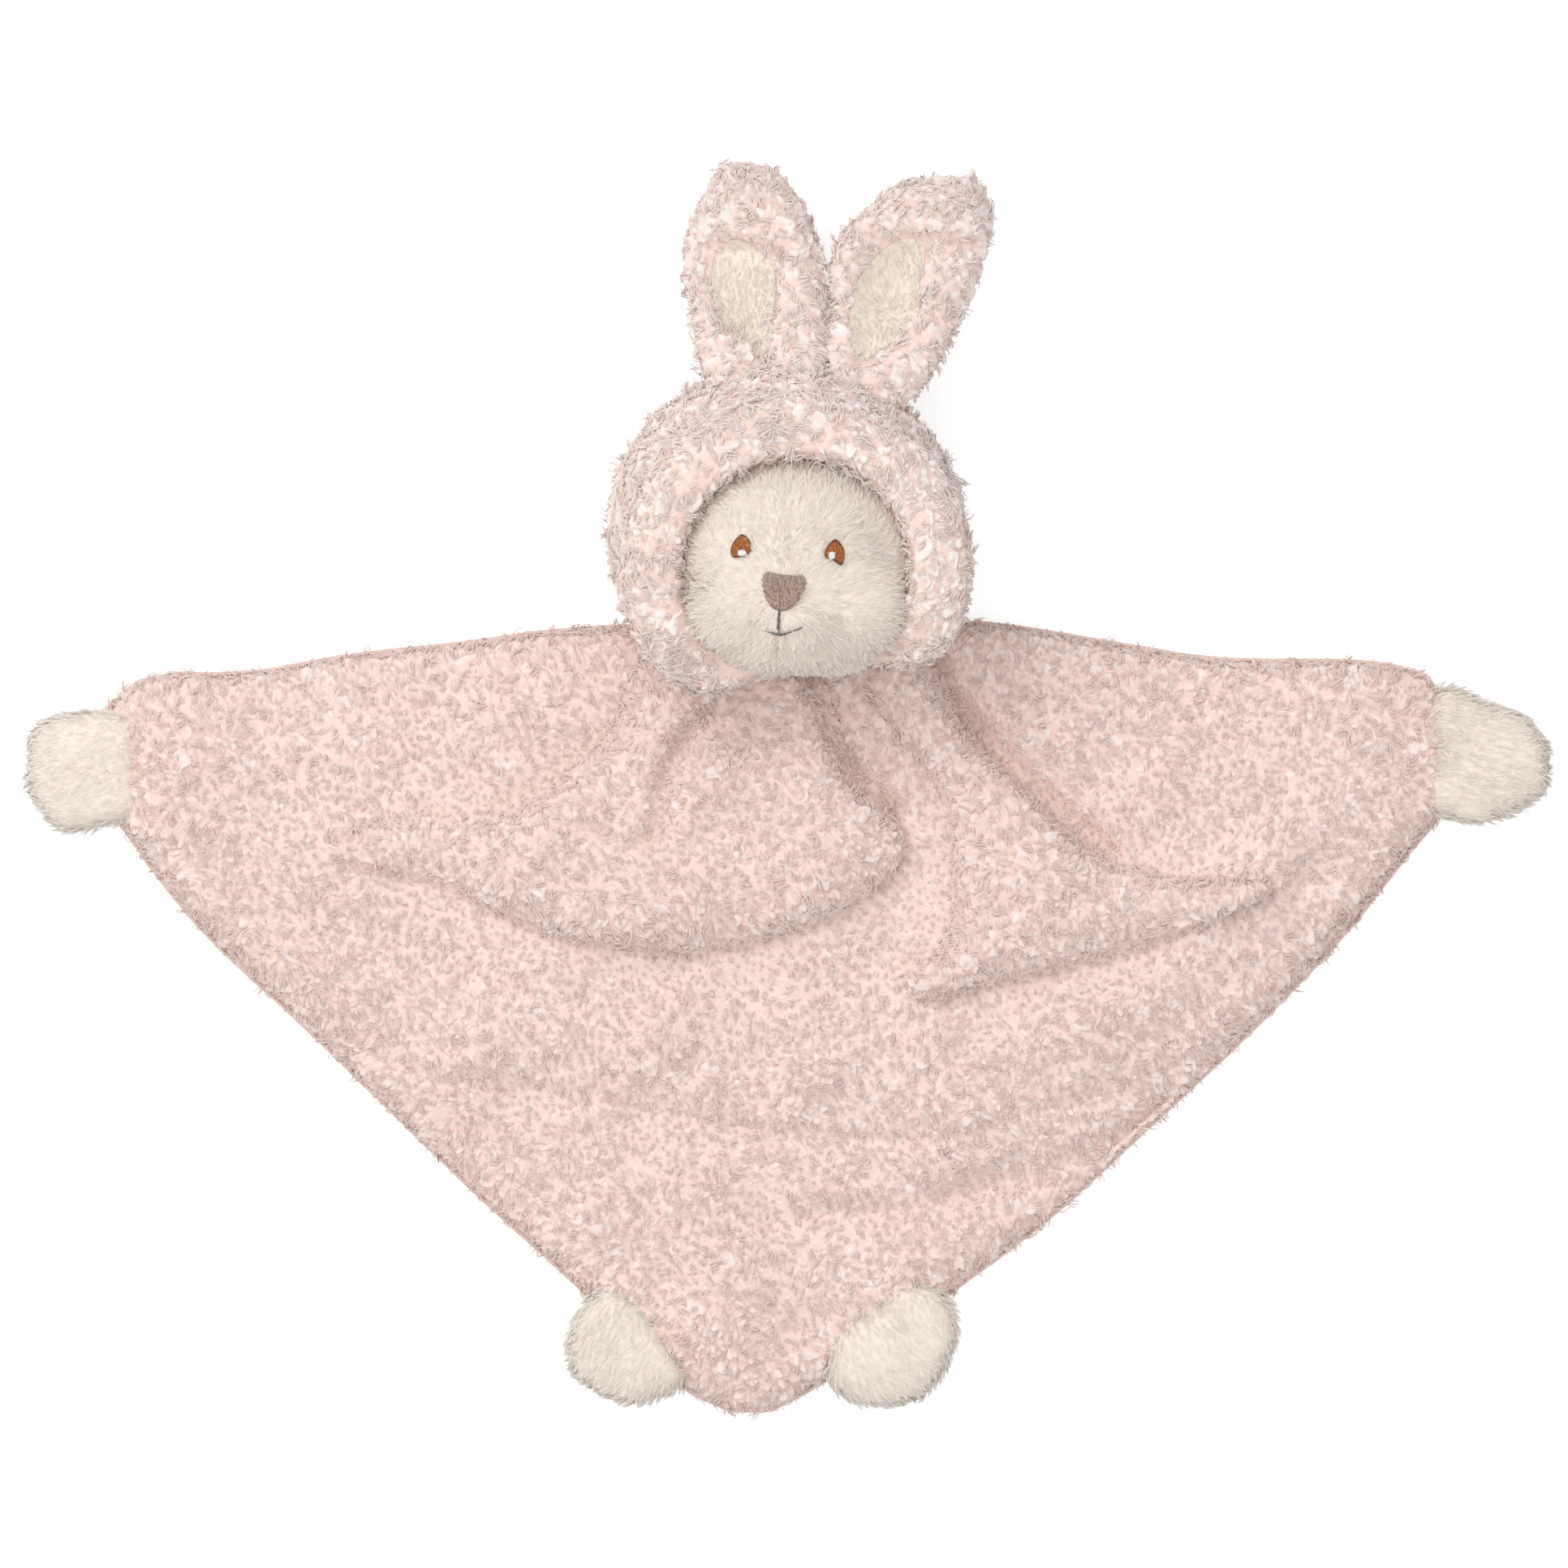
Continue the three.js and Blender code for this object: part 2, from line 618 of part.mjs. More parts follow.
function earGeometry() {
  const rings = [];
  for (let i = 0; i <= earAlong; i += 1) {
    const share = 1 - (1 - i / earAlong) ** 1.5;
    rings.push(Array.from({ length: earAround }, (_, j) => {
      const angle = (2 * Math.PI * j) / earAround;
      const x = earHalfWidth(share) * Math.cos(angle);
      const front = Math.sin(angle) >= 0;
      const z = front ? earFront(x, share) : earHalfThickness(share) * Math.sin(angle);
      return new THREE.Vector3(x, share * (earLength + earRoot) - earRoot, z);
    }));
  }
  return skin(rings);
}

// The cream lining in the cup of the ear, or its seat when it is grown by a clearance
function liningGeometry(grow = 0) {
  const middle = new THREE.Vector2(0, liningStart + liningLength / 2);
  const loop = ovalLoop(liningWidth + 2 * grow, liningLength + 2 * grow, 0);
  const surface = (x, y) => earFront(x, (y + earRoot) / (earLength + earRoot));
  return patch(middle, loop, surface, liningThickness + 2 * grow, gap - grow);
}

// The Y of the hood's edge towards the ears, grown by a lift
function hoodEdgeY(x, z, lift = 0) {
  const reach = 1 - ((x - headCentre.x) / (headRadii.x + lift)) ** 2
    - ((z - headCentre.z) / (headRadii.z + lift)) ** 2;
  return headCentre.y + (headRadii.y + lift) * Math.sqrt(Math.max(reach, 0));
}

function earPlace({ acrossShare, lean }) {
  const turn = new THREE.Euler(-earSlope, 0, lean, 'ZYX');
  const x = headCentre.x + acrossShare * headRadii.x;
  const z = headCentre.z + earRise;
  return new THREE.Matrix4().makeRotationFromEuler(turn).setPosition(x, hoodEdgeY(x, z), z);
}

// The thread along the front of an ear's root, where it meets the hood
function earSeamPath(place) {
  const off = gap + hoodThreadRadius;
  const half = earHalfWidth(earRoot / (earLength + earRoot));
  const points = [];
  for (let i = 0; i <= 8; i += 1) {
    const across = new THREE.Vector3(half * (i / 4 - 1) * 0.85, 0, 0).applyMatrix4(place);
    const z = headCentre.z + earRise + earThickness / 2 + off;
    points.push(new THREE.Vector3(across.x, hoodEdgeY(across.x, z, off), z));
  }
  return points;
}

// Limb, in its own frame: x outwards from the blanket's edge, y along it, z up from the floor
function limbRings({ width, length, thickness }, wall, from) {
  const rings = [];
  for (let i = 0; i <= limbAlong; i += 1) {
    const share = 1 - (1 - i / limbAlong) ** 1.6;
    const round = Math.sqrt(Math.max(1 - share ** 2.6, 0.004));
    const swell = 0.34 + 0.66 * Math.sin((Math.PI / 2) * Math.min(share / 0.5, 1));
    const half = (width / 2 - wall) * round;
    const tall = Math.max((thickness / 2) * swell - wall, thickness * 0.06) * round;
    const x = from + (length - wall - from) * share;
    rings.push(Array.from({ length: limbAround }, (_, j) => {
      const angle = (2 * Math.PI * j) / limbAround;
      const z = limbLevel(thickness, share) + tall * Math.sin(angle);
      return new THREE.Vector3(x, half * Math.cos(angle), Math.max(z, wall));
    }));
  }
  return rings;
}

function limbLevel(thickness, share) {
  const middle = thickness / 2 - restFlat;
  return middle - (middle - frontFloor) * (1 - share) ** 3;
}

// The outline pushed outwards, as an upright wall that trims what is sewn to the edge
function edgeWall(push) {
  const shape = new THREE.Shape(insetRing(-push, 0).map((p) => new THREE.Vector2(p.x, p.y)));
  const geometry = new THREE.ExtrudeGeometry(shape, { depth: headDepth, bevelEnabled: false });
  geometry.translate(0, 0, -headDepth / 2);
  return solidOf(geometry);
}

function limbPlace({ edgeShare, turn }) {
  const point = outlineCurve.getPointAt(edgeShare);
  const way = outlineCurve.getTangentAt(edgeShare);
  const angle = Math.atan2(-way.x, way.y) + THREE.MathUtils.degToRad(turn);
  return new THREE.Matrix4().makeRotationZ(angle).setPosition(point);
}

function limbSolids(limb) {
  const place = limbPlace(limb);
  const outer = limbRings(limb, 0, -limbRoot);
  const inner = limbRings(limb, limbWall, -limbRoot);
  const cup = skin([...outer].reverse().concat(inner)).applyMatrix4(place);
  const core = skin(limbRings(limb, limbWall + gap, -limbRoot)).applyMatrix4(place);
  const trim = edgeWall(limbSeamWidth + 2 * gap);
  return { cover: solidOf(cup).subtract(trim), filling: solidOf(core).subtract(trim) };
}

// The thread that sews a limb to the edge, between the two
function limbSeamGeometry({ edgeShare, width }) {
  const ring = insetRing(-gap - limbSeamWidth / 2, frontFloor + edgeHeight / 6);
  const reach = ((width * 0.36) / outlineCurve.getLength()) * edgePoints;
  const start = edgeShare * edgePoints - reach;
  const end = edgeShare * edgePoints + reach;
  const at = (place) => {
    const i = Math.floor(place);
    return ring[i].clone().lerp(ring[i + 1], place - i);
  };
  const points = [at(start)];
  for (let i = Math.ceil(start); i < end; i += 1) points.push(ring[i]);
  points.push(at(end));
  return thread(points, limbSeamWidth / 2, 6);
}

// Assembly
const toy = new THREE.Group();

function addPiece(name, geometry, material, parent = toy) {
  const mesh = new THREE.Mesh(geometry, material);
  mesh.name = name;
  parent.add(mesh);
}

const neckPoints = neckPath();
const front = solidOf(blanketFrontGeometry()).subtract(headClearance)
  .subtract(solidOf(thread(neckPoints, neckThreadRadius + gap, 6)));
addPiece('blanket_front', geometryFrom(front), pinkSherpa);
addPiece('blanket_back', blanketBackGeometry(), creamPlush);
addPiece('blanket_seam', blanketSeamGeometry(), pinkThread);
addPiece('neck_seam', thread(neckPoints, neckThreadRadius, 6), pinkThread);

const head = new THREE.Group();
toy.add(head);
const headParts = headSolids();
addPiece('head_filling', geometryFrom(headParts.filling), whiteFilling, head);
addPiece('hood_back', geometryFrom(headParts.back), pinkSherpa, head);
addPiece('hood_front', geometryFrom(headParts.front), pinkSherpa, head);
addPiece('hood_seam', hoodSeamGeometry(), pinkThread, head);
addPiece('face_panel', geometryFrom(headParts.face), creamPlush, head);

for (const [side, sign] of [['left', -1], ['right', 1]]) {
  const middle = new THREE.Vector2(
    faceCentre.x + eyeShift + (sign * eyeSpacing) / 2, faceCentre.y + eyeRise);
  const eye = ovalLoop(eyeWidth, eyeLength, -sign * eyeTilt);
  addPiece(`eye_${side}`, patch(middle, eye, faceTop, stitchHeight), brownThread, head);
  const low = new THREE.Vector2(middle.x - (sign * eyeWidth) / 8, middle.y - eyeLength * 0.22);
  const glint = ovalLoop(glintWidth, glintLength, 0);
  const lift = stitchHeight + 2 * gap;
  addPiece(`eye_${side}_glint`, patch(low, glint, faceTop, glintHeight, lift), whiteThread, head);
}

const noseMiddle = new THREE.Vector2(
  faceCentre.x + noseShift, faceCentre.y + noseTopY - noseLength / 2);
addPiece('nose', patch(noseMiddle, noseLoop(), faceTop, stitchHeight), taupeThread, head);

const lipTop = new THREE.Vector2(
  noseMiddle.x - noseWidth / 8, noseMiddle.y - noseLength / 2 - gap - mouthThreadRadius);
const lipLow = new THREE.Vector2(lipTop.x, lipTop.y - philtrumLength);
addPiece('philtrum_stitch', faceThread([lipTop, lipLow]), greyThread, head);
const smileY = lipLow.y - gap - 2 * mouthThreadRadius - smileSag;
const smileX = lipLow.x + smileShift;
addPiece('mouth_stitch', faceThread([
  new THREE.Vector2(smileX - smileWidth / 2, smileY + smileSag),
  new THREE.Vector2(smileX - smileWidth / 6, smileY),
  new THREE.Vector2(smileX + smileWidth / 2, smileY + 2 * smileSag),
]), greyThread, head);
const tuckTop = new THREE.Vector2(lipLow.x - gap, smileY - chinTuckDrop);
addPiece('chin_stitch', faceThread([
  tuckTop, new THREE.Vector2(tuckTop.x, tuckTop.y - chinTuckLength),
]), creamThread, head);

for (const [side, ear] of Object.entries(ears)) {
  const place = earPlace(ear);
  const seam = earSeamPath(place);
  const seat = liningGeometry(gap).applyMatrix4(place);
  const outer = solidOf(earGeometry().applyMatrix4(place)).subtract(headClearance)
    .subtract(solidOf(seat)).subtract(solidOf(thread(seam, hoodThreadRadius + gap, 6)));
  addPiece(`ear_${side}_outer`, geometryFrom(outer), pinkSherpa, head);
  addPiece(`ear_${side}_lining`, liningGeometry().applyMatrix4(place), creamLining, head);
  addPiece(`ear_${side}_seam`, thread(seam, hoodThreadRadius, 6), pinkThread, head);
}

for (const [name, limb] of Object.entries(limbs)) {
  const { cover, filling } = limbSolids(limb);
  addPiece(`${name}_cover`, geometryFrom(cover), creamPlush);
  addPiece(`${name}_filling`, geometryFrom(filling), whiteFilling);
  addPiece(`${name}_seam`, limbSeamGeometry(limb), creamThread);
}

export default toy;
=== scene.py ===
"""Comfort blanket: the looks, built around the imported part. Sizes are millimetres until a mesh is made."""

import math

import bpy
import numpy as np
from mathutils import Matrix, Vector, geometry


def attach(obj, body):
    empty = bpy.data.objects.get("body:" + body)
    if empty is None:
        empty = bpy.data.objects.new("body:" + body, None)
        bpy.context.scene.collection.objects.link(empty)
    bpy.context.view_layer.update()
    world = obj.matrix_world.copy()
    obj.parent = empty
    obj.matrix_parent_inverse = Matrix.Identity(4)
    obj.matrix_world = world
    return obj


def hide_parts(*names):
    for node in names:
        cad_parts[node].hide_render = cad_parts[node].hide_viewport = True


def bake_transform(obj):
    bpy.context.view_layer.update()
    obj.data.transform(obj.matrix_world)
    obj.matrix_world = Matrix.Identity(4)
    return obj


MM = 0.001

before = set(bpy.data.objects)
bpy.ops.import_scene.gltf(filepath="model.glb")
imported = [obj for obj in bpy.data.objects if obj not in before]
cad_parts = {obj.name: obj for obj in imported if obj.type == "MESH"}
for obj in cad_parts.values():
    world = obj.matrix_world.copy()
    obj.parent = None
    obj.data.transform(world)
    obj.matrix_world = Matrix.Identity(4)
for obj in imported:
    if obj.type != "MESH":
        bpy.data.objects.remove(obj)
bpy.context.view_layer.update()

# -------------------- Sizes

BLANKET_SPAN, BLANKET_DROP = 356.0, 192.5
OUTLINE = [
    (0, -0.075), (-0.075, -0.09), (-0.16, -0.085), (-0.245, -0.065), (-0.32, -0.05), (-0.4, -0.025),
    (-0.47, -0.02), (-0.5, 0.015), (-0.505, 0.1), (-0.495, 0.175), (-0.47, 0.245), (-0.43, 0.335),
    (-0.355, 0.465), (-0.23, 0.69), (-0.15, 0.825), (-0.09, 0.94), (-0.025, 0.995), (0.035, 0.945),
    (0.13, 0.82), (0.195, 0.73), (0.275, 0.595), (0.35, 0.465), (0.42, 0.33), (0.46, 0.235),
    (0.49, 0.165), (0.5, 0.09), (0.495, 0.02), (0.475, -0.025), (0.435, -0.04), (0.32, -0.045),
    (0.25, -0.065), (0.14, -0.095), (0.07, -0.09),
]
FRONT_FLOOR = 2.8
EDGE_HEIGHT, EDGE_ROUND, LOFT = 8.5, 9.0, 3.0

# Raised folds: outline in shares of the blanket, height, softness
DRAPE = [
    (-0.1, -0.04), (-0.05, -0.05), (-0.005, -0.05), (0.022, -0.03), (0.05, 0.095), (0.08, 0.165),
    (0.09, 0.225), (0.055, 0.29), (-0.005, 0.335), (-0.07, 0.36), (-0.13, 0.35), (-0.19, 0.325),
    (-0.245, 0.275), (-0.31, 0.24), (-0.34, 0.215), (-0.28, 0.175), (-0.2, 0.165), (-0.16, 0.105),
    (-0.125, 0.045),
]
LOBE = [
    (0.045, -0.05), (0.105, -0.05), (0.135, 0.05), (0.165, 0.11), (0.195, 0.17), (0.23, 0.22),
    (0.29, 0.26), (0.365, 0.27), (0.29, 0.335), (0.225, 0.37), (0.16, 0.4), (0.1, 0.42),
    (0.09, 0.405), (0.12, 0.345), (0.125, 0.255), (0.12, 0.155), (0.095, 0.075),
]
TERRACE = [
    (-0.4, 0.365), (-0.29, 0.5), (-0.16, 0.55), (-0.02, 0.595), (0.1, 0.61), (0.22, 0.555),
    (0.32, 0.485), (0.395, 0.375), (0.56, 0.055), (0.32, -0.165), (-0.34, -0.165), (-0.55, 0.055),
]
FOLDS = [(DRAPE, 10.0, 13.0), (LOBE, 9.0, 14.0), (TERRACE, 4.5, 30.0)]
# Creases: line in shares of the blanket, depth, width
CREASES = [
    ([(0.018, -0.04), (0.022, 0.0), (0.04, 0.08), (0.06, 0.136), (0.08, 0.16)], 6.0, 4.5),
    ([(0.108, -0.04), (0.12, 0.0), (0.15, 0.069), (0.196, 0.151), (0.239, 0.217)], 6.0, 5.0),
    ([(-0.057, 0.03), (-0.079, 0.076), (-0.087, 0.12), (-0.096, 0.194)], 5.0, 5.0),
    ([(-0.093, -0.027), (-0.123, 0.054), (-0.163, 0.12), (-0.21, 0.18)], 2.5, 6.0),
    ([(-0.005, 0.725), (0.11, 0.705), (0.2, 0.655), (0.28, 0.585)], 3.5, 7.0),
    ([(-0.36, 0.3), (-0.25, 0.36), (-0.12, 0.42), (0.02, 0.4)], 1.2, 10.0),
]

HEAD_CENTRE = np.array([0.5, 42.0, 38.5])
HEAD_RADII = np.array([48.5, 45.5, 39.0])
FACE_CENTRE = np.array([3.1, 31.4, 51.0])
FACE_RADII = np.array([33.0, 32.0, 30.0])
MUZZLE_CENTRE = np.array([3.1, 18.9, 59.0])
MUZZLE_RADII = np.array([16.0, 13.0, 23.0])
OPENING = (28.0, 27.5)
# The hood's rim: from and to in degrees round the face, and its distance from the middle
RIM_FROM, RIM_TO, RIM_RADII = -58, 247, (36.5, 36.0)
# The hood's lower edge: lowest y at each x
HOOD_EDGE = [-40, -21, -12, 0, 15, 35], [9, 3.5, 6, 10, 11.5, 11]
FACE_EDGE, EDGE_SOFT = 9, 4
EYE_DENTS = [(-11.25, 36.3), (13.25, 36.3)]
NECK_SWELL = 3.5

PINK_PILE, CREAM_PILE = 4.6, 2.4
PILE_FLOOR, TUFT_FLOOR = 0.25, 0.2
# Kinds of tuft and of lock, as tufts() and pile() take them
BLANKET_TUFTS = dict(small=1.5, large=2.7, lift=1.9, drop=1.1)
BLANKET_LOCKS = dict(length=2.4, width=1.9, slant=1.2, fibres=3, fibre=0.38, curl=0.8, start=0.6, gloss=0.4)
HOOD_TUFTS = dict(small=1.8, large=3.6, lift=2.3, drop=1.8)
EAR_TUFTS = dict(small=1.8, large=3.6, lift=2.2, drop=1.7)
HOOD_LOCKS = dict(length=3.6, width=2.3, slant=1.3, fibres=4, fibre=0.38, start=0.6, gloss=0.4)
HOOD_SPACING, HOOD_HIGH = 1.7, 0.9
NAP = dict(width=1.1, slant=1.2, curl=0.05, loose=0.4, start=0.85)

# -------------------- Numbers


def smoothstep(value, low, high):
    t = np.clip((value - low) / (high - low), 0, 1)
    return t * t * (3 - 2 * t)


def unit(v):
    return v / np.maximum(np.linalg.norm(v, axis=-1, keepdims=True), 1e-9)


def level(value):
    """The same height under any flat points."""
    return lambda xy: np.full(len(xy), float(value))


def jitter(seed, like):
    return np.random.default_rng(seed).normal(size=like.shape)


def closed_curve(points, count):
    """A centripetal curve through closed points, at even spacing."""
    p = np.asarray(points, float)
    runs = []
    for i in range(len(p)):
        p0, p1, p2, p3 = (p[(i + k) % len(p)] for k in (-1, 0, 1, 2))
        d0, d1, d2 = (max(np.linalg.norm(b - a) ** 0.5, 1e-4) for a, b in ((p0, p1), (p1, p2), (p2, p3)))
        m1 = ((p1 - p0) / d0 - (p2 - p0) / (d0 + d1) + (p2 - p1) / d1) * d1
        m2 = ((p2 - p1) / d1 - (p3 - p1) / (d1 + d2) + (p3 - p2) / d2) * d1
        t = np.linspace(0, 1, 40, endpoint=False)[:, None]
        runs.append(
            (2 * t**3 - 3 * t**2 + 1) * p1 + (t**3 - 2 * t**2 + t) * m1
            + (-2 * t**3 + 3 * t**2) * p2 + (t**3 - t**2) * m2
        )
    line = np.vstack(runs)
    return even(np.vstack([line, line[:1]]), count + 1)[:-1]


def even(line, count):
    """The same line with evenly spaced points."""
    line = np.asarray(line, float)
    way = np.r_[0, np.cumsum(np.linalg.norm(np.diff(line, axis=0), axis=1))]
    at = np.linspace(0, way[-1], count)
    return np.stack([np.interp(at, way, line[:, k]) for k in range(line.shape[1])], 1)


def line_distance(line, xy):
    """Distance of flat points to a run of straight pieces."""
    best = np.full(len(xy), 1e9)
    for a, b in zip(line[:-1], line[1:]):
        run = b - a
        t = np.clip(((xy - a) @ run) / max(run @ run, 1e-9), 0, 1)
        best = np.minimum(best, np.linalg.norm(a + t[:, None] * run - xy, axis=1))
    return best


def depth_inside(loop, xy):
    """Distance inside a closed flat line, negative outside it."""
    loop = np.asarray(loop, float)
    near = line_distance(np.vstack([loop, loop[:1]]), xy)
    inside = np.zeros(len(xy), bool)
    x, y = xy[:, 0], xy[:, 1]
    for a, b in zip(loop, np.roll(loop, -1, axis=0)):
        crosses = (a[1] > y) != (b[1] > y)
        if b[1] != a[1]:
            inside ^= crosses & (x < a[0] + (y - a[1]) / (b[1] - a[1]) * (b[0] - a[0]))
    return np.where(inside, near, -near)


class Waves:
    """A smooth random field: a sum of plane waves about one length."""

    def __init__(self, seed, length, count=14, outputs=1):
        rng = np.random.default_rng(seed)
        way = unit(rng.normal(size=(outputs, count, 3)))
        self.k = way * (2 * np.pi / length) * rng.uniform(0.55, 1.7, (outputs, count, 1))
        self.phase = rng.uniform(0, 2 * np.pi, (outputs, count))
        self.scale = math.sqrt(2 / count)

    def __call__(self, p):
        out = [np.sin(p @ k.T + ph).sum(1) * self.scale for k, ph in zip(self.k, self.phase)]
        return out[0] if len(out) == 1 else np.stack(out, 1)


# -------------------- Meshes


def build_object(name, verts, faces, material=None, body=None, normals=None):
    """An object from millimetre points and one or more arrays of faces."""
    mesh = bpy.data.meshes.new(name)
    verts = np.asarray(verts, np.float32) * MM
    faces = [np.asarray(f, np.int32) for f in (faces if isinstance(faces, list) else [faces])]
    faces = [f for f in faces if len(f)]
    counts = np.concatenate([np.full(len(f), f.shape[1]) for f in faces])
    loops = np.concatenate([f.ravel() for f in faces])
    mesh.vertices.add(len(verts))
    mesh.vertices.foreach_set("co", verts.ravel())
    mesh.loops.add(len(loops))
    mesh.loops.foreach_set("vertex_index", loops)
    mesh.polygons.add(len(counts))
    mesh.polygons.foreach_set("loop_start", np.r_[0, np.cumsum(counts)[:-1]].astype(np.int32))
    mesh.polygons.foreach_set("use_smooth", np.full(len(counts), True))
    if material:
        mesh.materials.append(material)
    mesh.update(calc_edges=True)
    if normals is not None:
        add_vectors(mesh, "custom_normal", normals)
    obj = bpy.data.objects.new(name, mesh)
    bpy.context.scene.collection.objects.link(obj)
    if body:
        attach(obj, body)
    return obj


def add_vectors(mesh, name, vectors):
    """A vector at each point of the mesh."""
    attribute = mesh.attributes.new(name, "FLOAT_VECTOR", "POINT")
    attribute.data.foreach_set("vector", np.asarray(vectors, np.float32).ravel())


def tri_normals(verts, tris):
    a, b, c = (verts[tris[:, k]] for k in range(3))
    return np.cross(b - a, c - a)


def point_normals(verts, tris):
    n = tri_normals(verts, tris)
    return unit(np.stack([np.bincount(tris.ravel(), np.repeat(n[:, k], 3), len(verts)) for k in range(3)], 1))


def as_triangles(quads):
    return np.vstack([quads[:, [0, 1, 2]], quads[:, [0, 2, 3]]])


def ring_quads(rings, n, closed=False):
    """Quads between rings of n points each."""
    i = np.arange(rings if closed else rings - 1)[:, None] * n
    j, nxt = np.arange(n), (np.arange(n) + 1) % n
    ahead = (i + n) % (rings * n)
    return np.stack([i + j, i + nxt, ahead + nxt, ahead + j], -1).reshape(-1, 4)


def joined(parts):
    """The points and triangles of several bodies as one."""
    base = np.cumsum([0] + [len(v) for v, t in parts])
    return np.vstack([v for v, t in parts]), np.vstack([t + b for (v, t), b in zip(parts, base)])


def ball(centre, radii, around=40, along=24):
    """Triangles of an ellipsoid."""
    th = np.linspace(0, np.pi, along + 1)[1:-1]
    ph = np.linspace(0, 2 * np.pi, around, endpoint=False)
    grid = np.stack([
        np.outer(np.sin(th), np.cos(ph)), np.outer(np.sin(th), np.sin(ph)),
        np.outer(np.cos(th), np.ones(around)),
    ], -1).reshape(-1, 3)
    verts = np.vstack([grid, [[0, 0, 1]], [[0, 0, -1]]]) * radii + centre
    top, low = np.full((2, around), [[len(grid)], [len(grid) + 1]])
    i, j = np.indices((along - 2, around)).reshape(2, -1)
    a, b = i * around + j, i * around + (j + 1) % around
    side = np.stack([a, a + around, b + around, a, b + around, b], 1)
    j, nxt = np.arange(around), (np.arange(around) + 1) % around
    last = (along - 2) * around
    caps = np.stack([top, j, nxt, low, last + nxt, last + j], 1)
    return verts, np.vstack([side.reshape(-1, 3), caps.reshape(-1, 3)])


def tube(path, radii, sides=12, closed=False):
    """A round body along a path, with its own radius at each point."""
    path = np.asarray(path, float)
    way = unit(np.roll(path, -1, 0) - np.roll(path, 1, 0) if closed else np.gradient(path, axis=0))
    side = unit(np.cross([0.0, 0.0, 1.0], way))
    rise = np.cross(way, side)
    a = np.linspace(0, 2 * np.pi, sides, endpoint=False)
    radii = np.broadcast_to(np.asarray(radii, float), (len(path),))
    rings = path[:, None] + radii[:, None, None] * (
        np.cos(a)[None, :, None] * side[:, None] + np.sin(a)[None, :, None] * rise[:, None])
    verts, tris = rings.reshape(-1, 3), as_triangles(ring_quads(len(path), sides, closed))
    if closed:
        return verts, tris
    j, nxt = np.arange(sides), (np.arange(sides) + 1) % sides
    start, last = np.full(sides, len(verts)), len(verts) - sides
    fans = [np.stack([start, nxt, j], 1), np.stack([start + 1, last + j, last + nxt], 1)]
    return np.vstack([verts, path[[0, -1]]]), np.vstack([tris, *fans])


def fuse(parts, voxel, passes):
    """One closed body from several that overlap, smoothed."""
    obj = build_object("scratch", *joined(parts))
    mod = obj.modifiers.new("voxels", "REMESH")
    mod.mode, mod.voxel_size = "VOXEL", voxel * MM
    soft = obj.modifiers.new("soft", "SMOOTH")
    soft.factor, soft.iterations = 0.5, passes
    done = obj.evaluated_get(bpy.context.evaluated_depsgraph_get()).to_mesh()
    done.calc_loop_triangles()
    verts = np.array([v.co for v in done.vertices]) / MM
    tris = np.array([t.vertices for t in done.loop_triangles])
    mesh = obj.data
    bpy.data.objects.remove(obj)
    bpy.data.meshes.remove(mesh)
    return verts, tris


def inset_ring(loop, inset):
    """A closed flat line, walked counterclockwise, moved inwards."""
    way = np.roll(loop, -1, 0) - np.roll(loop, 1, 0)
    out = unit(np.stack([way[:, 1], -way[:, 0]], 1))
    return loop - out * np.broadcast_to(np.asarray(inset, float), (len(loop),))[:, None]


def pillow(loop, rings, top, step):
    """A skin under a height: rings of (inset, level) up the edge, then an even net inside the last.
    Levels and the height are functions of flat points."""
    stack = [np.c_[flat, z(flat)] for flat, z in ((inset_ring(loop, inset), z) for inset, z in rings)]
    inner = stack[-1][:, :2]
    low, high = inner.min(0), inner.max(0)
    rows = enumerate(np.arange(low[1], high[1], step * math.sqrt(3) / 2))
    rows = [(np.arange(low[0] + (k % 2) * step / 2, high[0], step), y) for k, y in rows]
    net = np.vstack([np.c_[x, np.full(len(x), y)] for x, y in rows])
    net = net[depth_inside(inner, net) > step * 0.55]
    n = len(loop)
    out = geometry.delaunay_2d_cdt(
        [Vector(p) for p in np.vstack([inner, net])], [(i, (i + 1) % n) for i in range(n)], [list(range(n))],
        1, 1e-5)
    points = np.array([list(p) for p in out[0]])
    cover = np.array([f for f in out[2] if len(f) == 3])
    given = np.array([olds[0] if olds else -1 for olds in out[3]])
    on_edge = (given >= 0) & (given < n)
    base = (len(stack) - 1) * n
    index = np.where(on_edge, base + given, 0)
    index[~on_edge] = base + n + np.arange((~on_edge).sum())
    verts = np.vstack(stack + [np.c_[points, top(points)][~on_edge]])
    cover = index[cover]
    turn = np.cross(*(verts[cover[:, k], :2] - verts[cover[:, 0], :2] for k in (1, 2)))
    cover = np.where((turn > 0)[:, None], cover, cover[:, [0, 2, 1]])
    sides = as_triangles(ring_quads(len(stack), n))
    return verts, np.vstack([sides, cover]) if len(sides) else cover


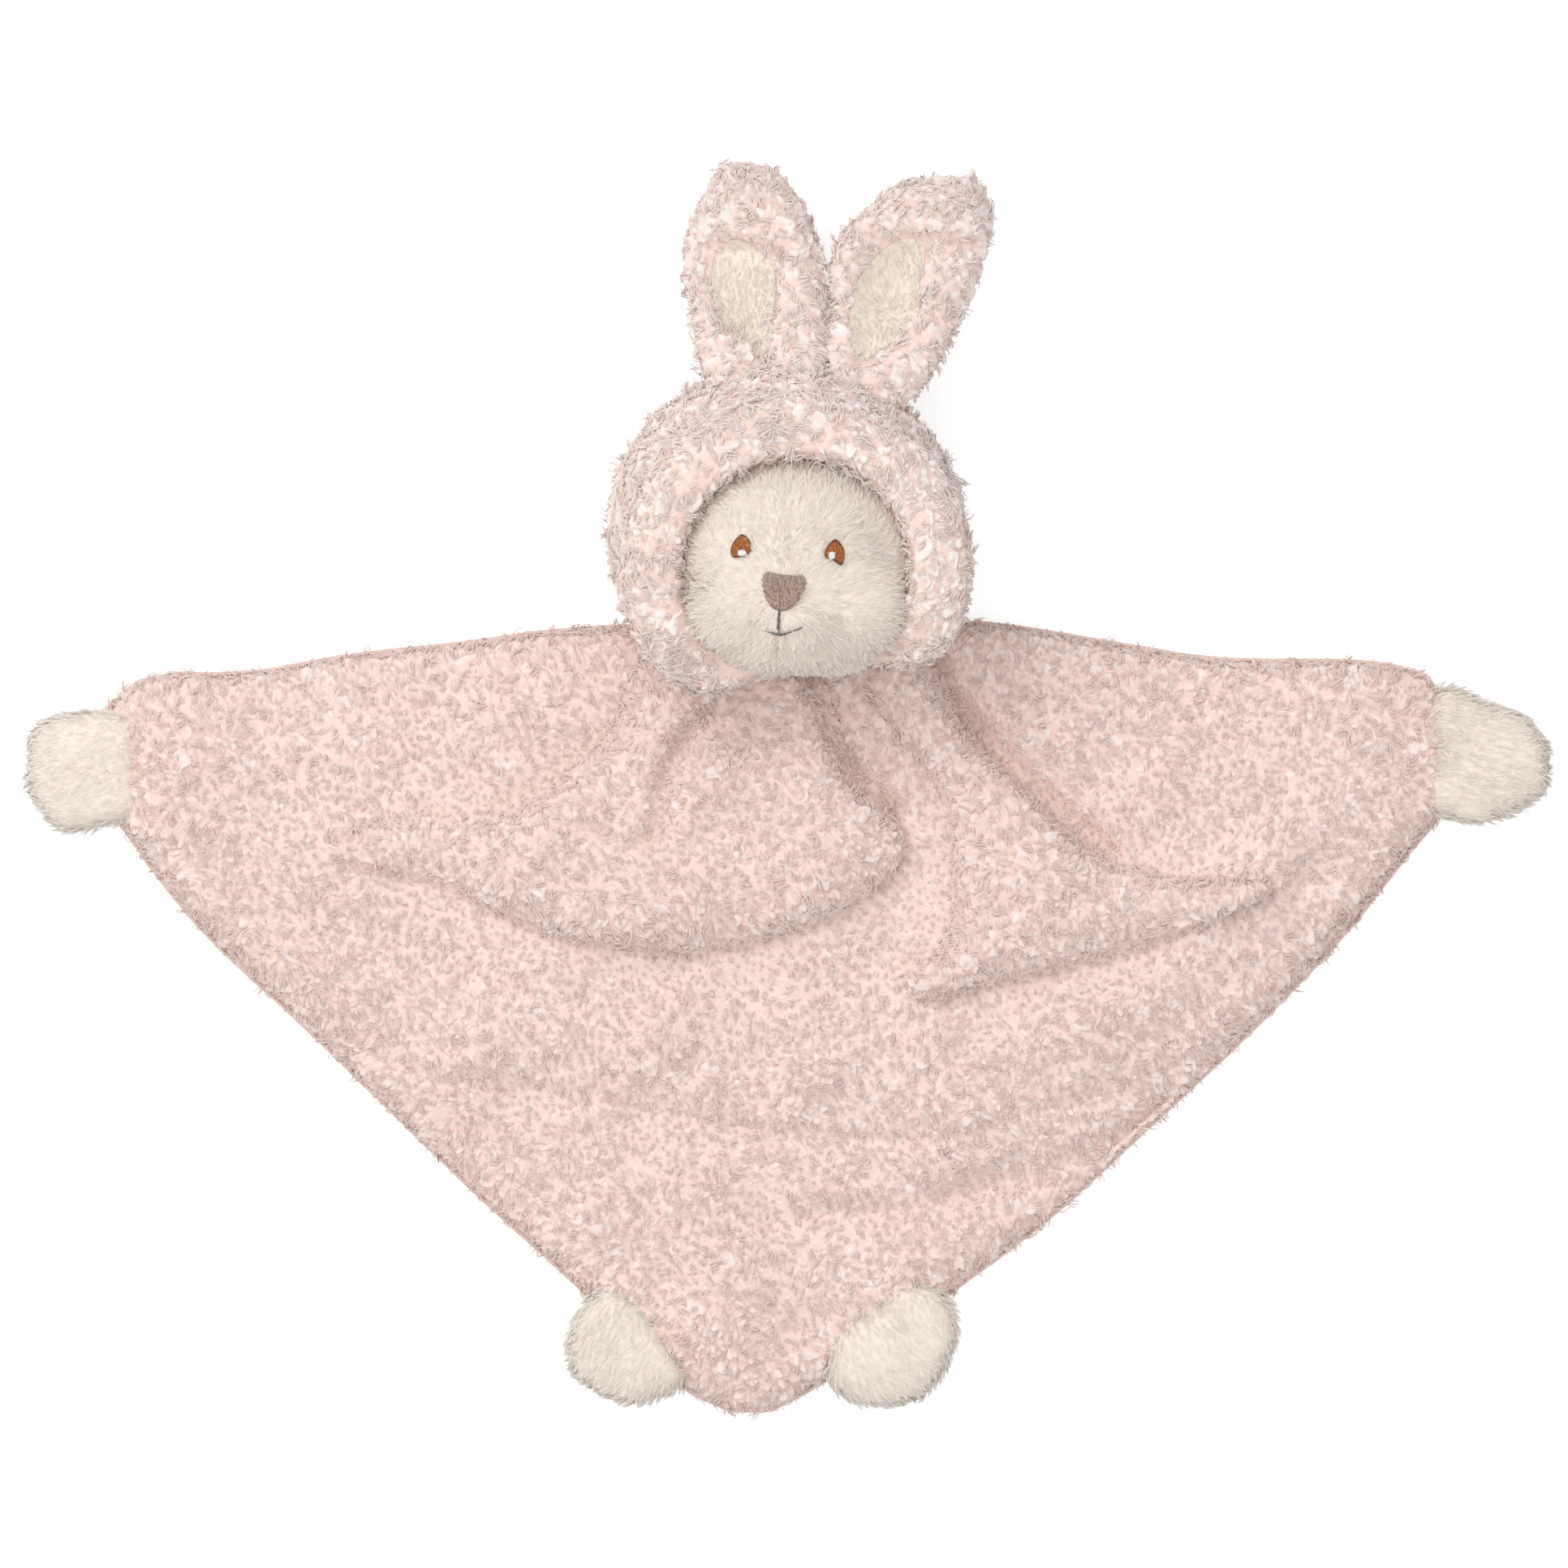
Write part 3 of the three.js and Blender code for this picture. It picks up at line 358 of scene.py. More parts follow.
def refine(verts, tris, times, *fields):
    """Finer triangles on the same rounded surface, with the fields of its points."""
    for _ in range(times):
        n = point_normals(verts, tris)
        edges = np.sort(np.vstack([tris[:, [0, 1]], tris[:, [1, 2]], tris[:, [2, 0]]]), 1).astype(np.int64)
        key, back = np.unique(edges[:, 0] * len(verts) + edges[:, 1], return_inverse=True)
        a, b = key // len(verts), key % len(verts)
        mid = (verts[a] + verts[b]) / 2
        bulge = sum(n[e] * ((verts[e] - mid) * n[e]).sum(1, keepdims=True) for e in (a, b))
        ab, bc, ca = (len(verts) + back).reshape(3, -1)
        verts = np.vstack([verts, mid + 0.3 * bulge])
        fields = [np.concatenate([f, (f[a] + f[b]) / 2]) for f in fields]
        tris = np.vstack([
            np.stack(t, 1) for t in (
                (tris[:, 0], ab, ca), (ab, tris[:, 1], bc), (ca, bc, tris[:, 2]), (ab, bc, ca))])
    return (verts, tris, *fields)


# -------------------- Pile


def close_pairs(p, q, radius):
    """Numbers of all p and q points that are nearer than the radius to each other."""
    low = np.minimum(p.min(0), q.min(0)) - 2 * radius
    cell = lambda x: np.floor((x - low) / radius).astype(np.int64)
    size = cell(np.maximum(p.max(0), q.max(0))) + 3
    key = lambda c: (c[:, 0] * size[1] + c[:, 1]) * size[2] + c[:, 2]
    q_key = key(cell(q))
    order = np.argsort(q_key)
    q_key, home = q_key[order], cell(p)
    left, right = [], []
    for x in (-1, 0, 1):
        for y in (-1, 0, 1):
            start = np.searchsorted(q_key, key(home + [x, y, -1]), "left")
            count = np.searchsorted(q_key, key(home + [x, y, 1]), "right") - start
            i = np.repeat(np.arange(len(p)), count)
            j = order[np.arange(count.sum()) + np.repeat(start - np.cumsum(count) + count, count)]
            near = ((p[i] - q[j]) ** 2).sum(1) < radius**2
            left.append(i[near])
            right.append(j[near])
    return np.concatenate(left), np.concatenate(right)


def scatter(verts, tris, spacing, seed, keep=None):
    """Evenly spread points on a surface, with its smooth normals."""
    rng = np.random.default_rng(seed)
    area = np.linalg.norm(tri_normals(verts, tris), axis=1) / 2
    normals = point_normals(verts, tris)
    count = int(4.0 * area.sum() / (0.866 * spacing**2))
    tri = tris[rng.choice(len(tris), count, p=area / area.sum())]
    u, v = rng.random((2, count, 1))
    flip = (u + v > 1)
    u, v = np.where(flip, 1 - u, u), np.where(flip, 1 - v, v)
    w = 1 - u - v
    p = verts[tri[:, 0]] * w + verts[tri[:, 1]] * u + verts[tri[:, 2]] * v
    n = unit(normals[tri[:, 0]] * w + normals[tri[:, 1]] * u + normals[tri[:, 2]] * v)
    if keep is not None:
        ok = keep(p, n)
        p, n = p[ok], n[ok]
    i, j = close_pairs(p, p, spacing)
    i, j = i[i < j], j[i < j]
    kept = np.zeros(len(p), bool)
    waiting = np.ones(len(p), bool)
    while waiting.any():
        both = waiting[i] & waiting[j]
        i, j = i[both], j[both]
        held = np.zeros(len(p), bool)
        held[j] = True
        free = waiting & ~held
        kept |= free
        waiting &= held
        waiting[j[free[i]]] = False
    return p[kept], n[kept]


# Fibres pass light on, so their shading leans to the sky
WRAP = np.array([0, 0, 0.55])
# A fibre's rings along its length, from root to tip, and its thickness there
FIBRE_RINGS = np.array([0.1, 0.5, 0.82, 1.0])
FIBRE_PROFILE = np.array([0.8, 1.0, 0.75])[None, :, None, None]
# A fibre's two lower flanks take the darker, warmer tone of a lower part of the fibre: painted shade under each
# fibre
FLANK_SHADE = 0.5


def bent_line(p, n, ahead, across, length, slant, curl, sway, s, start=0.35):
    """Points and directions along lines that leave p near n and bend over towards ahead."""
    steps = 12
    grid = np.linspace(0, 1, steps + 1)
    angle = slant[:, None] * (start + (1.1 - start) * grid) + curl[:, None] * grid**2
    rise = np.cos(angle)[..., None] * n[:, None] + np.sin(angle)[..., None] * ahead[:, None]
    way = unit(rise + (sway[:, None] * np.sin(np.pi * grid))[..., None] * across[:, None])
    mid = (way[:, 1:] + way[:, :-1]) / 2 * (length[:, None, None] / steps)
    line = p[:, None] + np.concatenate([np.zeros((len(p), 1, 3)), np.cumsum(mid, 1)], 1)
    place = np.clip(s, 0, None) * steps
    low = np.clip(place.astype(int), 0, steps - 1)
    part = (place - low)[..., None]
    rows = np.arange(len(p))[:, None]
    low = np.broadcast_to(low, (len(p), low.shape[-1]))
    part = np.broadcast_to(part, (len(p), *part.shape[-2:]))
    at = lambda field: field[rows, low] * (1 - part) + field[rows, low + 1] * part
    return at(line), unit(at(way))


def pile(p, n, lean, *, seed, length, width, slant, fibres=5, fibre=0.17, curl=0.35, scale=None,
         loose=1.0, start=0.35, gloss=0.5, ribbons=False, turns=True):
    """Locks of fibres that rise from p along n and bend towards lean. Ribbons are flat and only for pile seen
    from above; where the body turns over, the shading of fibres underneath isn't lifted towards the sky.
    Returns points, normals, faces, fibre data and places on the bake map."""
    rng = np.random.default_rng(seed)
    count = len(p)
    over = smoothstep(n[:, 2:], -0.75, -0.3) if turns else 1.0
    sky = unit(np.c_[n[:, :2], n[:, 2:] + over * np.maximum(0.3 - n[:, 2:], 0)])
    wrap = over * WRAP
    scale = np.ones(count) if scale is None else scale
    strength = np.linalg.norm(lean, axis=1)
    lean = lean - n * (lean * n).sum(1, keepdims=True)
    ahead = unit(lean)
    across = np.cross(n, ahead)
    long = length * scale * rng.uniform(0.82, 1.15, count)
    tilt = slant * np.clip(strength, 0.3, 1.4) * rng.uniform(0.75, 1.15, count)
    bow = curl * rng.uniform(-0.4, 1.3, count)
    sway = rng.uniform(-0.45, 0.45, count)
    lock = rng.random(count)
    cells = math.ceil(math.sqrt(count))
    cell = np.stack([np.arange(count) % cells, np.arange(count) // cells], 1) + 0.04
    s = FIBRE_RINGS
    close = np.interp(s, [0, 0.6, 1], [0.7, 1.0, 0.4])[None, :, None]
    parts = []
    for f in range(fibres):
        turn = rng.uniform(0, 2 * math.pi, count)[:, None, None]
        spread = np.sqrt(rng.random(count))
        reach = rng.uniform(0.8, 1.22, count)
        line, way = bent_line(
            p, n, ahead, across, long * reach, tilt, bow + 0.2 * loose * rng.normal(size=count),
            sway + 0.3 * loose * rng.normal(size=count), s, start)
        side = unit(np.cross(way, across[:, None] + 1e-3))
        flat = np.cross(side, way)
        around = np.cos(turn) * flat + 0.7 * np.sin(turn) * side
        line = line + (width * scale / 2 * spread)[:, None, None] * close * around
        lane = 0.48 + 0.48 * (f + np.r_[np.tile([0.9, 0.1, 0.5], 3), 0.5]) / max(fibres, 1)
        if ribbons:
            top = n[:, None] + 0.2 * rng.normal(size=(count, 1, 3))
            taper = np.interp(s, [0, 0.5, 0.99], [0.8, 1, 0.4])[None, :, None]
            edge = unit(np.cross(way, top)) * (fibre / 2) * taper
            pairs = np.stack([(line - edge)[:, :3], (line + edge)[:, :3]], 2).reshape(count, 6, 3)
            verts = np.concatenate([pairs, line[:, 3:]], 1)
            normals = np.repeat(unit(sky + 0.25 * rng.normal(size=n.shape) + wrap)[:, None], 7, 1)
            tone = np.r_[np.repeat(s[:3], 2), 1.0]
            quads, tips = np.array([[0, 1, 3, 2], [2, 3, 5, 4]]), np.array([[4, 5, 6]])
            lane = lane[[0, 1, 3, 4, 6, 7, 9]]
        else:
            a = (2 * np.pi * np.arange(3) / 3 + np.pi / 2)[None, None, :, None]
            thick = fibre / 2 * rng.uniform(0.75, 1.25, count)[:, None, None, None] * FIBRE_PROFILE
            rounds = np.cos(a) * flat[:, :3, None] + np.sin(a) * side[:, :3, None]
            verts = np.concatenate([(line[:, :3, None] + thick * rounds).reshape(count, 9, 3), line[:, 3:]], 1)
            facing = np.concatenate([rounds.reshape(count, 9, 3), way[:, 3:]], 1)
            puff = 0.25 * np.repeat(around, [3, 3, 3, 1], 1)
            normals = unit(gloss * facing + puff + (0.9 * sky + wrap)[:, None])
            # The lower flanks' darker, warmer tone is painted shade under the fibre
            tone = np.r_[np.outer(s[:3], [1.0, FLANK_SHADE, FLANK_SHADE]).ravel(), 1.0]
            quads, tips = ring_quads(3, 3), np.array([[6, 7, 9], [7, 8, 9], [8, 6, 9]])
        own = rng.random(count)
        base = ((f * count + np.arange(count)) * verts.shape[1])[:, None, None]
        data = np.stack(np.broadcast_arrays(tone[None], lock[:, None], own[:, None]), -1)
        height = np.broadcast_to(tone, (count, len(tone)))
        uv = (cell[:, None] + 0.92 * np.stack([np.broadcast_to(lane, height.shape), height], -1)) / cells
        parts.append([x.reshape(-1, x.shape[-1]) for x in (verts, normals, base + quads, base + tips, data, uv)])
    verts, normals, quads, tips, data, uv = (np.concatenate(x) for x in zip(*parts))
    verts[:, 2] = np.maximum(verts[:, 2], PILE_FLOOR)
    return verts, normals, [quads, tips], data, uv


def lumps(p, flow, centres, size, stretch=1.5):
    """Rounded lumps about centres, longer along the flow: a height from 0 to 1, and each point's own lump."""
    i, j = close_pairs(p, centres, 1.9 * size)
    away = p[i] - centres[j]
    ahead = (away * flow[i]).sum(1)
    reach = np.sqrt(np.maximum((away**2).sum(1) - ahead**2, 0) * stretch + ahead**2 / stretch)
    order = np.lexsort((reach, i))
    i, j, reach = i[order], j[order], reach[order]
    first = np.searchsorted(i, np.arange(len(p)))
    second = np.minimum(first + 1, len(i) - 1)
    first = np.minimum(first, len(i) - 1)
    f1 = reach[first]
    f2 = np.where(i[second] == i[first], reach[second], f1 + size)
    dome = np.sqrt(np.clip(1 - 0.9 * (f1 / size) ** 2, 0, 1))
    return 0.5 * dome + 0.5 * smoothstep(f2 - f1, 0, 0.5 * size), j[first]


def tufts(verts, tris, flow, high, seed, *, small, large, lift, drop):
    """A surface of small soft tufts that lean along the flow, larger where high is near 1."""
    rng = np.random.default_rng(seed)
    n = point_normals(verts, tris)
    flow = flow - n * (flow * n).sum(1, keepdims=True)
    way = unit(flow)
    warp = Waves(seed + 5, 5.0, outputs=3)(verts) * 0.45
    fine, own_fine = lumps(verts + warp, way, scatter(verts, tris, small, seed + 1)[0], small)
    wide, own_wide = lumps(verts + 2.0 * warp, way, scatter(verts, tris, large, seed + 2)[0], large)
    each = rng.uniform(0.7, 1.2, own_fine.max() + 1)[own_fine]
    grown = rng.uniform(0.65, 1.05, own_wide.max() + 1)[own_wide]
    height = lift * ((0.6 - 0.15 * high) * fine * each + (0.2 + 0.65 * high) * wide * grown)
    bend = np.minimum(np.linalg.norm(flow, axis=1), 1.2)[:, None]
    points = verts + n * (height - drop)[:, None] + way * (height[:, None] * bend * 0.6)
    points[:, 2] = np.maximum(points[:, 2], TUFT_FLOOR)
    # Root colour between the lumps, tip colour on their tops: painted shade in the crevices between tufts
    tone = np.clip(1.15 * (fine * each) * (1 - 0.5 * high) + 0.7 * high * wide * grown - 0.3, 0, 1)
    side = smoothstep(n[:, 2:], -0.75, -0.3) * (0.2 + 0.4 * smoothstep(-n[:, 2:], -0.3, 0.2))
    normals = unit(point_normals(points, tris) + 0.3 * n + side * WRAP)
    data = np.stack([tone, rng.random(own_wide.max() + 1)[own_wide], 0.5 * np.ones(len(verts))], 1)
    return points, normals, tris, data


def cut(skin, group):
    """Parts of a skin, one for each group number of its triangles."""
    points, normals, tris, data = skin
    for k in range(group.max() + 1):
        own = tris[group == k]
        used, back = np.unique(own, return_inverse=True)
        yield points[used], normals[used], back.reshape(-1, 3), data[used]


SKIN_SHARE = 0.55


def on_map(flat, low, high):
    """Flat points laid into a rectangle of the bake map."""
    span = np.maximum(np.ptp(flat, 0), 1e-6)
    return np.array(low) + (flat - flat.min(0)) / span * (np.array(high) - np.array(low))


def sherpa_object(name, skins, made, material, body):
    """Tuft skins and the fibres over them as one piece."""
    verts, normals, faces, data, uv = made
    uv = np.stack([uv[:, 0], SKIN_SHARE + 0.01 + uv[:, 1] * (0.99 - SKIN_SHARE)], 1)
    for i, (points, facing, tris, tone) in enumerate(skins):
        faces = [*faces, tris + len(verts)]
        low, high = (i / len(skins) + 0.005, 0.005), ((i + 1) / len(skins) - 0.005, SKIN_SHARE - 0.01)
        place = on_map(points[:, :2], low, high)
        verts, normals, data, uv = (
            np.vstack(pair) for pair in ((verts, points), (normals, facing), (data, tone), (uv, place)))
    return pile_object(name, (verts, normals, faces, data, uv), material, body)


def pile_object(name, made, material, body):
    verts, normals, faces, data, uv = made
    obj = build_object(name, verts, faces, material, body, normals)
    mesh = obj.data
    add_vectors(mesh, "pile", data)
    corner = np.zeros(len(mesh.loops), np.int32)
    mesh.loops.foreach_get("vertex_index", corner)
    mesh.uv_layers.new(name="OFBake").data.foreach_set("uv", uv[corner].astype(np.float32).ravel())
    return obj


# -------------------- Materials


def new_material(name, roughness, sheen, sheen_rough, specular):
    mat = bpy.data.materials.new(name)
    mat.use_nodes = True
    shader = mat.node_tree.nodes["Principled BSDF"]
    finish = {
        "Roughness": roughness, "Specular IOR Level": specular, "Sheen Weight": sheen,
        "Sheen Roughness": sheen_rough, "Sheen Tint": (1, 1, 1, 1)}
    for socket, value in finish.items():
        shader.inputs[socket].default_value = value
    return mat, mat.node_tree, shader


def add_node(tree, kind, *sources, **values):
    """A node whose first inputs come from the sources, and whose named inputs are set."""
    node = tree.nodes.new("ShaderNode" + kind)
    for socket, source in zip(node.inputs, sources):
        tree.links.new(source, socket)
    for name, value in values.items():
        node.inputs[name].default_value = value
    return node


def ramp(tree, source, stops):
    node = add_node(tree, "ValToRGB", source)
    node.color_ramp.interpolation = "EASE"
    while len(node.color_ramp.elements) < len(stops):
        node.color_ramp.elements.new(0.5)
    for element, (place, colour) in zip(node.color_ramp.elements, stops):
        element.position = place
        element.color = (*colour, 1)
    return node.outputs[0]


def multiplied(tree, a, b):
    node = add_node(tree, "Mix")
    node.data_type, node.blend_type = "RGBA", "MULTIPLY"
    node.inputs[0].default_value = 1.0
    tree.links.new(a, node.inputs[6])
    tree.links.new(b, node.inputs[7])
    return node.outputs[2]


def noise(tree, scale, detail=3.0):
    coord = add_node(tree, "TexCoord")
    return add_node(tree, "TexNoise", coord.outputs["Object"], Scale=scale, Detail=detail).outputs["Fac"]


def pile_material(name, root, middle, tip, patch):
    """Fibres that pale from root to tip, the darker, warmer root colour being painted shade deep in the pile,
    with locks and broad patches of slightly different colour.
    """
    mat, tree, shader = new_material(name, 0.85, 0.25, 0.45, 0.25)
    data = add_node(tree, "Attribute")
    data.attribute_name = "pile"
    along, lock, _ = add_node(tree, "SeparateXYZ", data.outputs["Vector"]).outputs
    colour = ramp(tree, along, [(0.0, root), (0.4, middle), (0.9, tip)])
    colour = multiplied(tree, colour, ramp(tree, lock, [(0.0, (0.93, 0.91, 0.9)), (1.0, (1, 1, 1))]))
    colour = multiplied(tree, colour, ramp(tree, noise(tree, 22), [(0.35, patch), (0.65, (1, 1, 1))]))
    tree.links.new(colour, shader.inputs["Base Color"])
    return mat


def speckled(name, dark, light, scale, detail, *finish):
    mat, tree, shader = new_material(name, *finish)
    colour = ramp(tree, noise(tree, scale, detail), [(0.3, dark), (0.7, light)])
    tree.links.new(colour, shader.inputs["Base Color"])
    return mat


def cloth_material(name, dark, light):
    """Knitted ground that shows between the fibres."""
    return speckled(name, dark, light, 900.0, 3.0, 0.95, 0.1, 0.5, 0.1)


def thread_material(name, dark, light):
    return speckled(name, dark, light, 1600.0, 2.0, 0.5, 0.15, 0.4, 0.35)


PINK = pile_material(
    "pink_pile", (0.87, 0.58, 0.50), (0.935, 0.74, 0.68), (0.96, 0.83, 0.79), (0.98, 0.97, 0.96))
# The hood's and ears' sherpa is the blanket's, painted paler to lift the shade among their longer, steeper locks
HOOD_PINK = pile_material(
    "hood_pile", (0.92, 0.68, 0.61), (0.97, 0.82, 0.77), (0.99, 0.90, 0.865), (0.98, 0.97, 0.96))
CREAM = pile_material(
    "cream_pile", (0.95, 0.86, 0.76), (0.97, 0.90, 0.83), (0.98, 0.93, 0.88), (0.99, 0.98, 0.97))
# The ear linings' cream is yellower than the face's, and darker partly as painted shade of the cupped ear
LINING = pile_material(
    "lining_pile", (0.86, 0.75, 0.62), (0.92, 0.84, 0.73), (0.95, 0.89, 0.80), (0.98, 0.97, 0.96))
PINK_CLOTH = cloth_material("pink_ground", (0.90, 0.68, 0.61), (0.94, 0.75, 0.69))
CREAM_CLOTH = cloth_material("cream_ground", (0.90, 0.80, 0.69), (0.95, 0.87, 0.78))
BROWN_THREAD = thread_material("brown_thread", (0.20, 0.05, 0.012), (0.50, 0.175, 0.035))
WHITE_THREAD = thread_material("white_thread", (0.80, 0.79, 0.80), (0.92, 0.91, 0.91))
TAUPE_THREAD = thread_material("taupe_thread", (0.27, 0.18, 0.14), (0.60, 0.44, 0.37))
GREY_THREAD = thread_material("grey_thread", (0.10, 0.09, 0.09), (0.24, 0.23, 0.23))
EDGE_THREAD = thread_material("dark_brown_thread", (0.10, 0.03, 0.01), (0.20, 0.07, 0.03))
CREAM_THREAD = thread_material("cream_thread", (0.70, 0.58, 0.44), (0.82, 0.70, 0.56))
PINK_THREAD = thread_material("pink_thread", (0.82, 0.56, 0.49), (0.92, 0.70, 0.64))

# -------------------- Blanket


def to_blanket(shares):
    return np.array([(x * BLANKET_SPAN, -y * BLANKET_DROP) for x, y in shares], float)


outline = closed_curve(to_blanket(OUTLINE), 260)
waves_fold = Waves(3, 46.0)
waves_small = Waves(4, 17.0)


def fold_loop(shares):
    return closed_curve(to_blanket(shares), 90)


def rolled(depth, radius):
    """A rolled edge: a quarter circle from the line inwards."""
    t = 1 - np.clip(depth / radius, 0, 1)
    return np.sqrt(1 - t * t)


def blanket_top(xy):
    """Mean level of the pile's tips on the blanket's front."""
    inside = depth_inside(outline, xy)
    edge = 1 - np.clip(inside / EDGE_ROUND, 0, 1)
    height = EDGE_HEIGHT * np.sqrt(1 - edge**2) + LOFT * smoothstep(inside, 0, 3 * EDGE_ROUND)
    for shares, lift, roll in FOLDS:
        low_left = 1 - 0.5 * smoothstep(-xy[:, 0], 0.14 * BLANKET_SPAN, 0.33 * BLANKET_SPAN)
        height = height + lift * low_left * rolled(depth_inside(fold_loop(shares), xy), roll)
    for shares, depth, wide in CREASES:
        away = line_distance(to_blanket(shares), xy)
        height = height - depth * np.exp(-2 * (away / wide) ** 2)
    flat = np.c_[xy, np.zeros(len(xy))]
    broad = smoothstep(inside, 4, 20)
    neck = np.exp(-(((xy[:, 1] - 3) / 8) ** 2)) * (1 - smoothstep(np.abs(xy[:, 0] - 2), 24, 40))
    height = height + NECK_SWELL * neck
    return FRONT_FLOOR + height + broad * (0.9 * waves_fold(flat) + 0.45 * waves_small(flat))


def front_cloth():
    under = lambda xy: np.maximum(blanket_top(xy) - PINK_PILE * 0.4, 4.5)
    rings = [(3.2, level(3.1)), (1.8, level(3.5)), (1.3, level(4.6)), (1.7, level(5.9)), (2.8, under)]
    return pillow(outline, rings, under, 1.9)


front_verts, front_tris = front_cloth()
front = build_object("blanket_front_cloth", front_verts, front_tris, PINK_CLOTH, "blanket")
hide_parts("blanket_front")

lean_coarse = Waves(8, 26.0, outputs=3)
lean_fine = Waves(10, 6.5, outputs=3)
length_waves = Waves(9, 18.0)


def slope(xy, step=1.5):
    """Downhill direction of the blanket's front."""
    x, y = np.array([step, 0]), np.array([0, step])
    return -np.stack([
        blanket_top(xy + x) - blanket_top(xy - x), blanket_top(xy + y) - blanket_top(xy - y)], 1) / (2 * step)


def crest(xy, reach=13.0):
    """How far a place stands over its surroundings, about -1 in a valley to 1 on a ridge."""
    ring = np.linspace(0, 2 * np.pi, 6, endpoint=False)
    round_it = [blanket_top(xy + reach * np.array([math.cos(a), math.sin(a)])) for a in ring]
    return np.clip((blanket_top(xy) - np.mean(round_it, 0)) / 2.5, -1, 1)


def blanket_flow(p, n):
    """Lean of the pile over the blanket, and how much longer it is there."""
    xy = p[:, :2]
    rim = 1 - smoothstep(depth_inside(outline, xy), 2, 13)
    neck = smoothstep(xy[:, 1], -38, -12) * (1 - smoothstep(np.abs(xy[:, 0]), 34, 55))
    high = (crest(xy) * (1 - neck) + 0.9 * neck) * (1 - rim) + rim * 0.8
    out = unit(np.c_[n[:, :2], np.zeros(len(n))])
    down = np.c_[slope(xy), np.zeros(len(xy))]
    down = down / np.maximum(np.linalg.norm(down, axis=1, keepdims=True), 0.7)
    flow = lean_coarse(p) * 0.3 + lean_fine(p) * 0.3 + down * 0.8 + out * rim[:, None] * 0.9
    return flow, high


BLANKET_PARTS = 10


def blanket_pile():
    flow, high = blanket_flow(front_verts, point_normals(front_verts, front_tris))
    verts, tris, flow, high = refine(front_verts, front_tris, 2, flow, high)
    skin = tufts(verts, tris, flow, np.clip(0.3 + 0.7 * high, 0, 1), 21, **BLANKET_TUFTS)
    middle = verts[tris].mean(1)
    p, n = scatter(front_verts, front_tris, 1.5, 31, keep=lambda p, n: n[:, 2] > -0.2)
    flow, high = blanket_flow(p, n)
    flow = flow + 0.5 * jitter(5, p)
    grown = 1.0 + 0.3 * high + 0.5 * (1 - smoothstep(depth_inside(outline, p[:, :2]), 1, 7))
    bands = np.quantile(p[:, 0], np.linspace(0, 1, BLANKET_PARTS + 1)[1:-1])
    parts = list(cut(skin, np.searchsorted(bands, middle[:, 0])))
    band = np.searchsorted(bands, p[:, 0])
    pieces = []
    for i in range(BLANKET_PARTS):
        c = band == i
        made = pile(p[c], n[c], flow[c], seed=100 + i, scale=grown[c], **BLANKET_LOCKS)
        pieces.append(sherpa_object(f"blanket_pile_{i + 1}", [parts[i]], made, PINK, "blanket"))
    return pieces


front_pile = blanket_pile()


def back_cloth():
    rings = [(5.0, level(0.4)), (3.6, level(1.0)), (3.9, level(1.9)), (5.4, level(2.2))]
    verts, tris = pillow(outline, rings, level(2.2), 9.0)
    flat = np.c_[inset_ring(outline, 5.0), np.full(len(outline), 0.4)]
    tri = np.array(geometry.tessellate_polygon([[Vector(p) for p in flat]]))
    turn = np.cross(*(flat[tri[:, k], :2] - flat[tri[:, 0], :2] for k in (1, 2)))
    tri = np.where((turn < 0)[:, None], tri, tri[:, [0, 2, 1]])
    return verts, np.vstack([tris, tri])


back_verts, back_tris = back_cloth()
back = build_object("blanket_back_cloth", back_verts, back_tris, CREAM_CLOTH, "blanket")
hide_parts("blanket_back")
rim_p, rim_n = scatter(
    back_verts, back_tris, 1.5, 22, keep=lambda p, n: (depth_inside(outline, p[:, :2]) < 5.6) & (n[:, 2] < 0.6))
rim_lean = np.c_[rim_n[:, :2], np.full(len(rim_n), -0.3)] + 0.4 * jitter(6, rim_p)
back_pile = pile_object("blanket_back_pile", pile(
    rim_p, rim_n, rim_lean, seed=120, length=2.4, width=1.3, slant=0.6, fibres=6, fibre=0.25), CREAM, "blanket")

# -------------------- Head


def opening_share(p):
    return ((p[:, 0] - FACE_CENTRE[0]) / OPENING[0]) ** 2 + ((p[:, 1] - FACE_CENTRE[1]) / OPENING[1]) ** 2


def rim_path():
    """Middle of the hood's rolled rim, from beside the chin round the face and back."""
    a = np.radians(np.linspace(RIM_FROM, RIM_TO, 60))
    x = FACE_CENTRE[0] + RIM_RADII[0] * np.cos(a)
    y = FACE_CENTRE[1] + RIM_RADII[1] * np.sin(a)
    end = np.minimum(
        smoothstep(np.degrees(a), RIM_FROM, RIM_FROM + 53), 1 - smoothstep(np.degrees(a), RIM_TO - 57, RIM_TO))
    z = 50 + 11 * end + 2.5 * np.sin(a)
    radius = 6.0 + 3.4 * end
    return np.stack([x, y, z], 1), radius


def drawn_up(p, low):
    """Points below y = low, drawn up close to it."""
    p[:, 1] = np.where(p[:, 1] < low, low - EDGE_SOFT * np.tanh((low - p[:, 1]) / EDGE_SOFT), p[:, 1])
    return p


def lifted(p):
    """The hood's lower edge drawn up to the neck."""
    return drawn_up(p, np.interp(p[:, 0], *HOOD_EDGE))


def hood_cloth():
    path, radius = rim_path()
    shell = HEAD_RADII - 2.4
    verts, tris = fuse([ball(HEAD_CENTRE, shell, 56, 36), tube(path, radius, 16)], 1.8, 8)
    verts = lifted(verts)
    hollow = smoothstep(-opening_share(verts), -1.25, -0.9) * (verts[:, 2] > 52)
    verts[:, 2] -= hollow * (verts[:, 2] - 52)
    verts[:, 2] = np.maximum(verts[:, 2], 1.2)
    return verts, tris


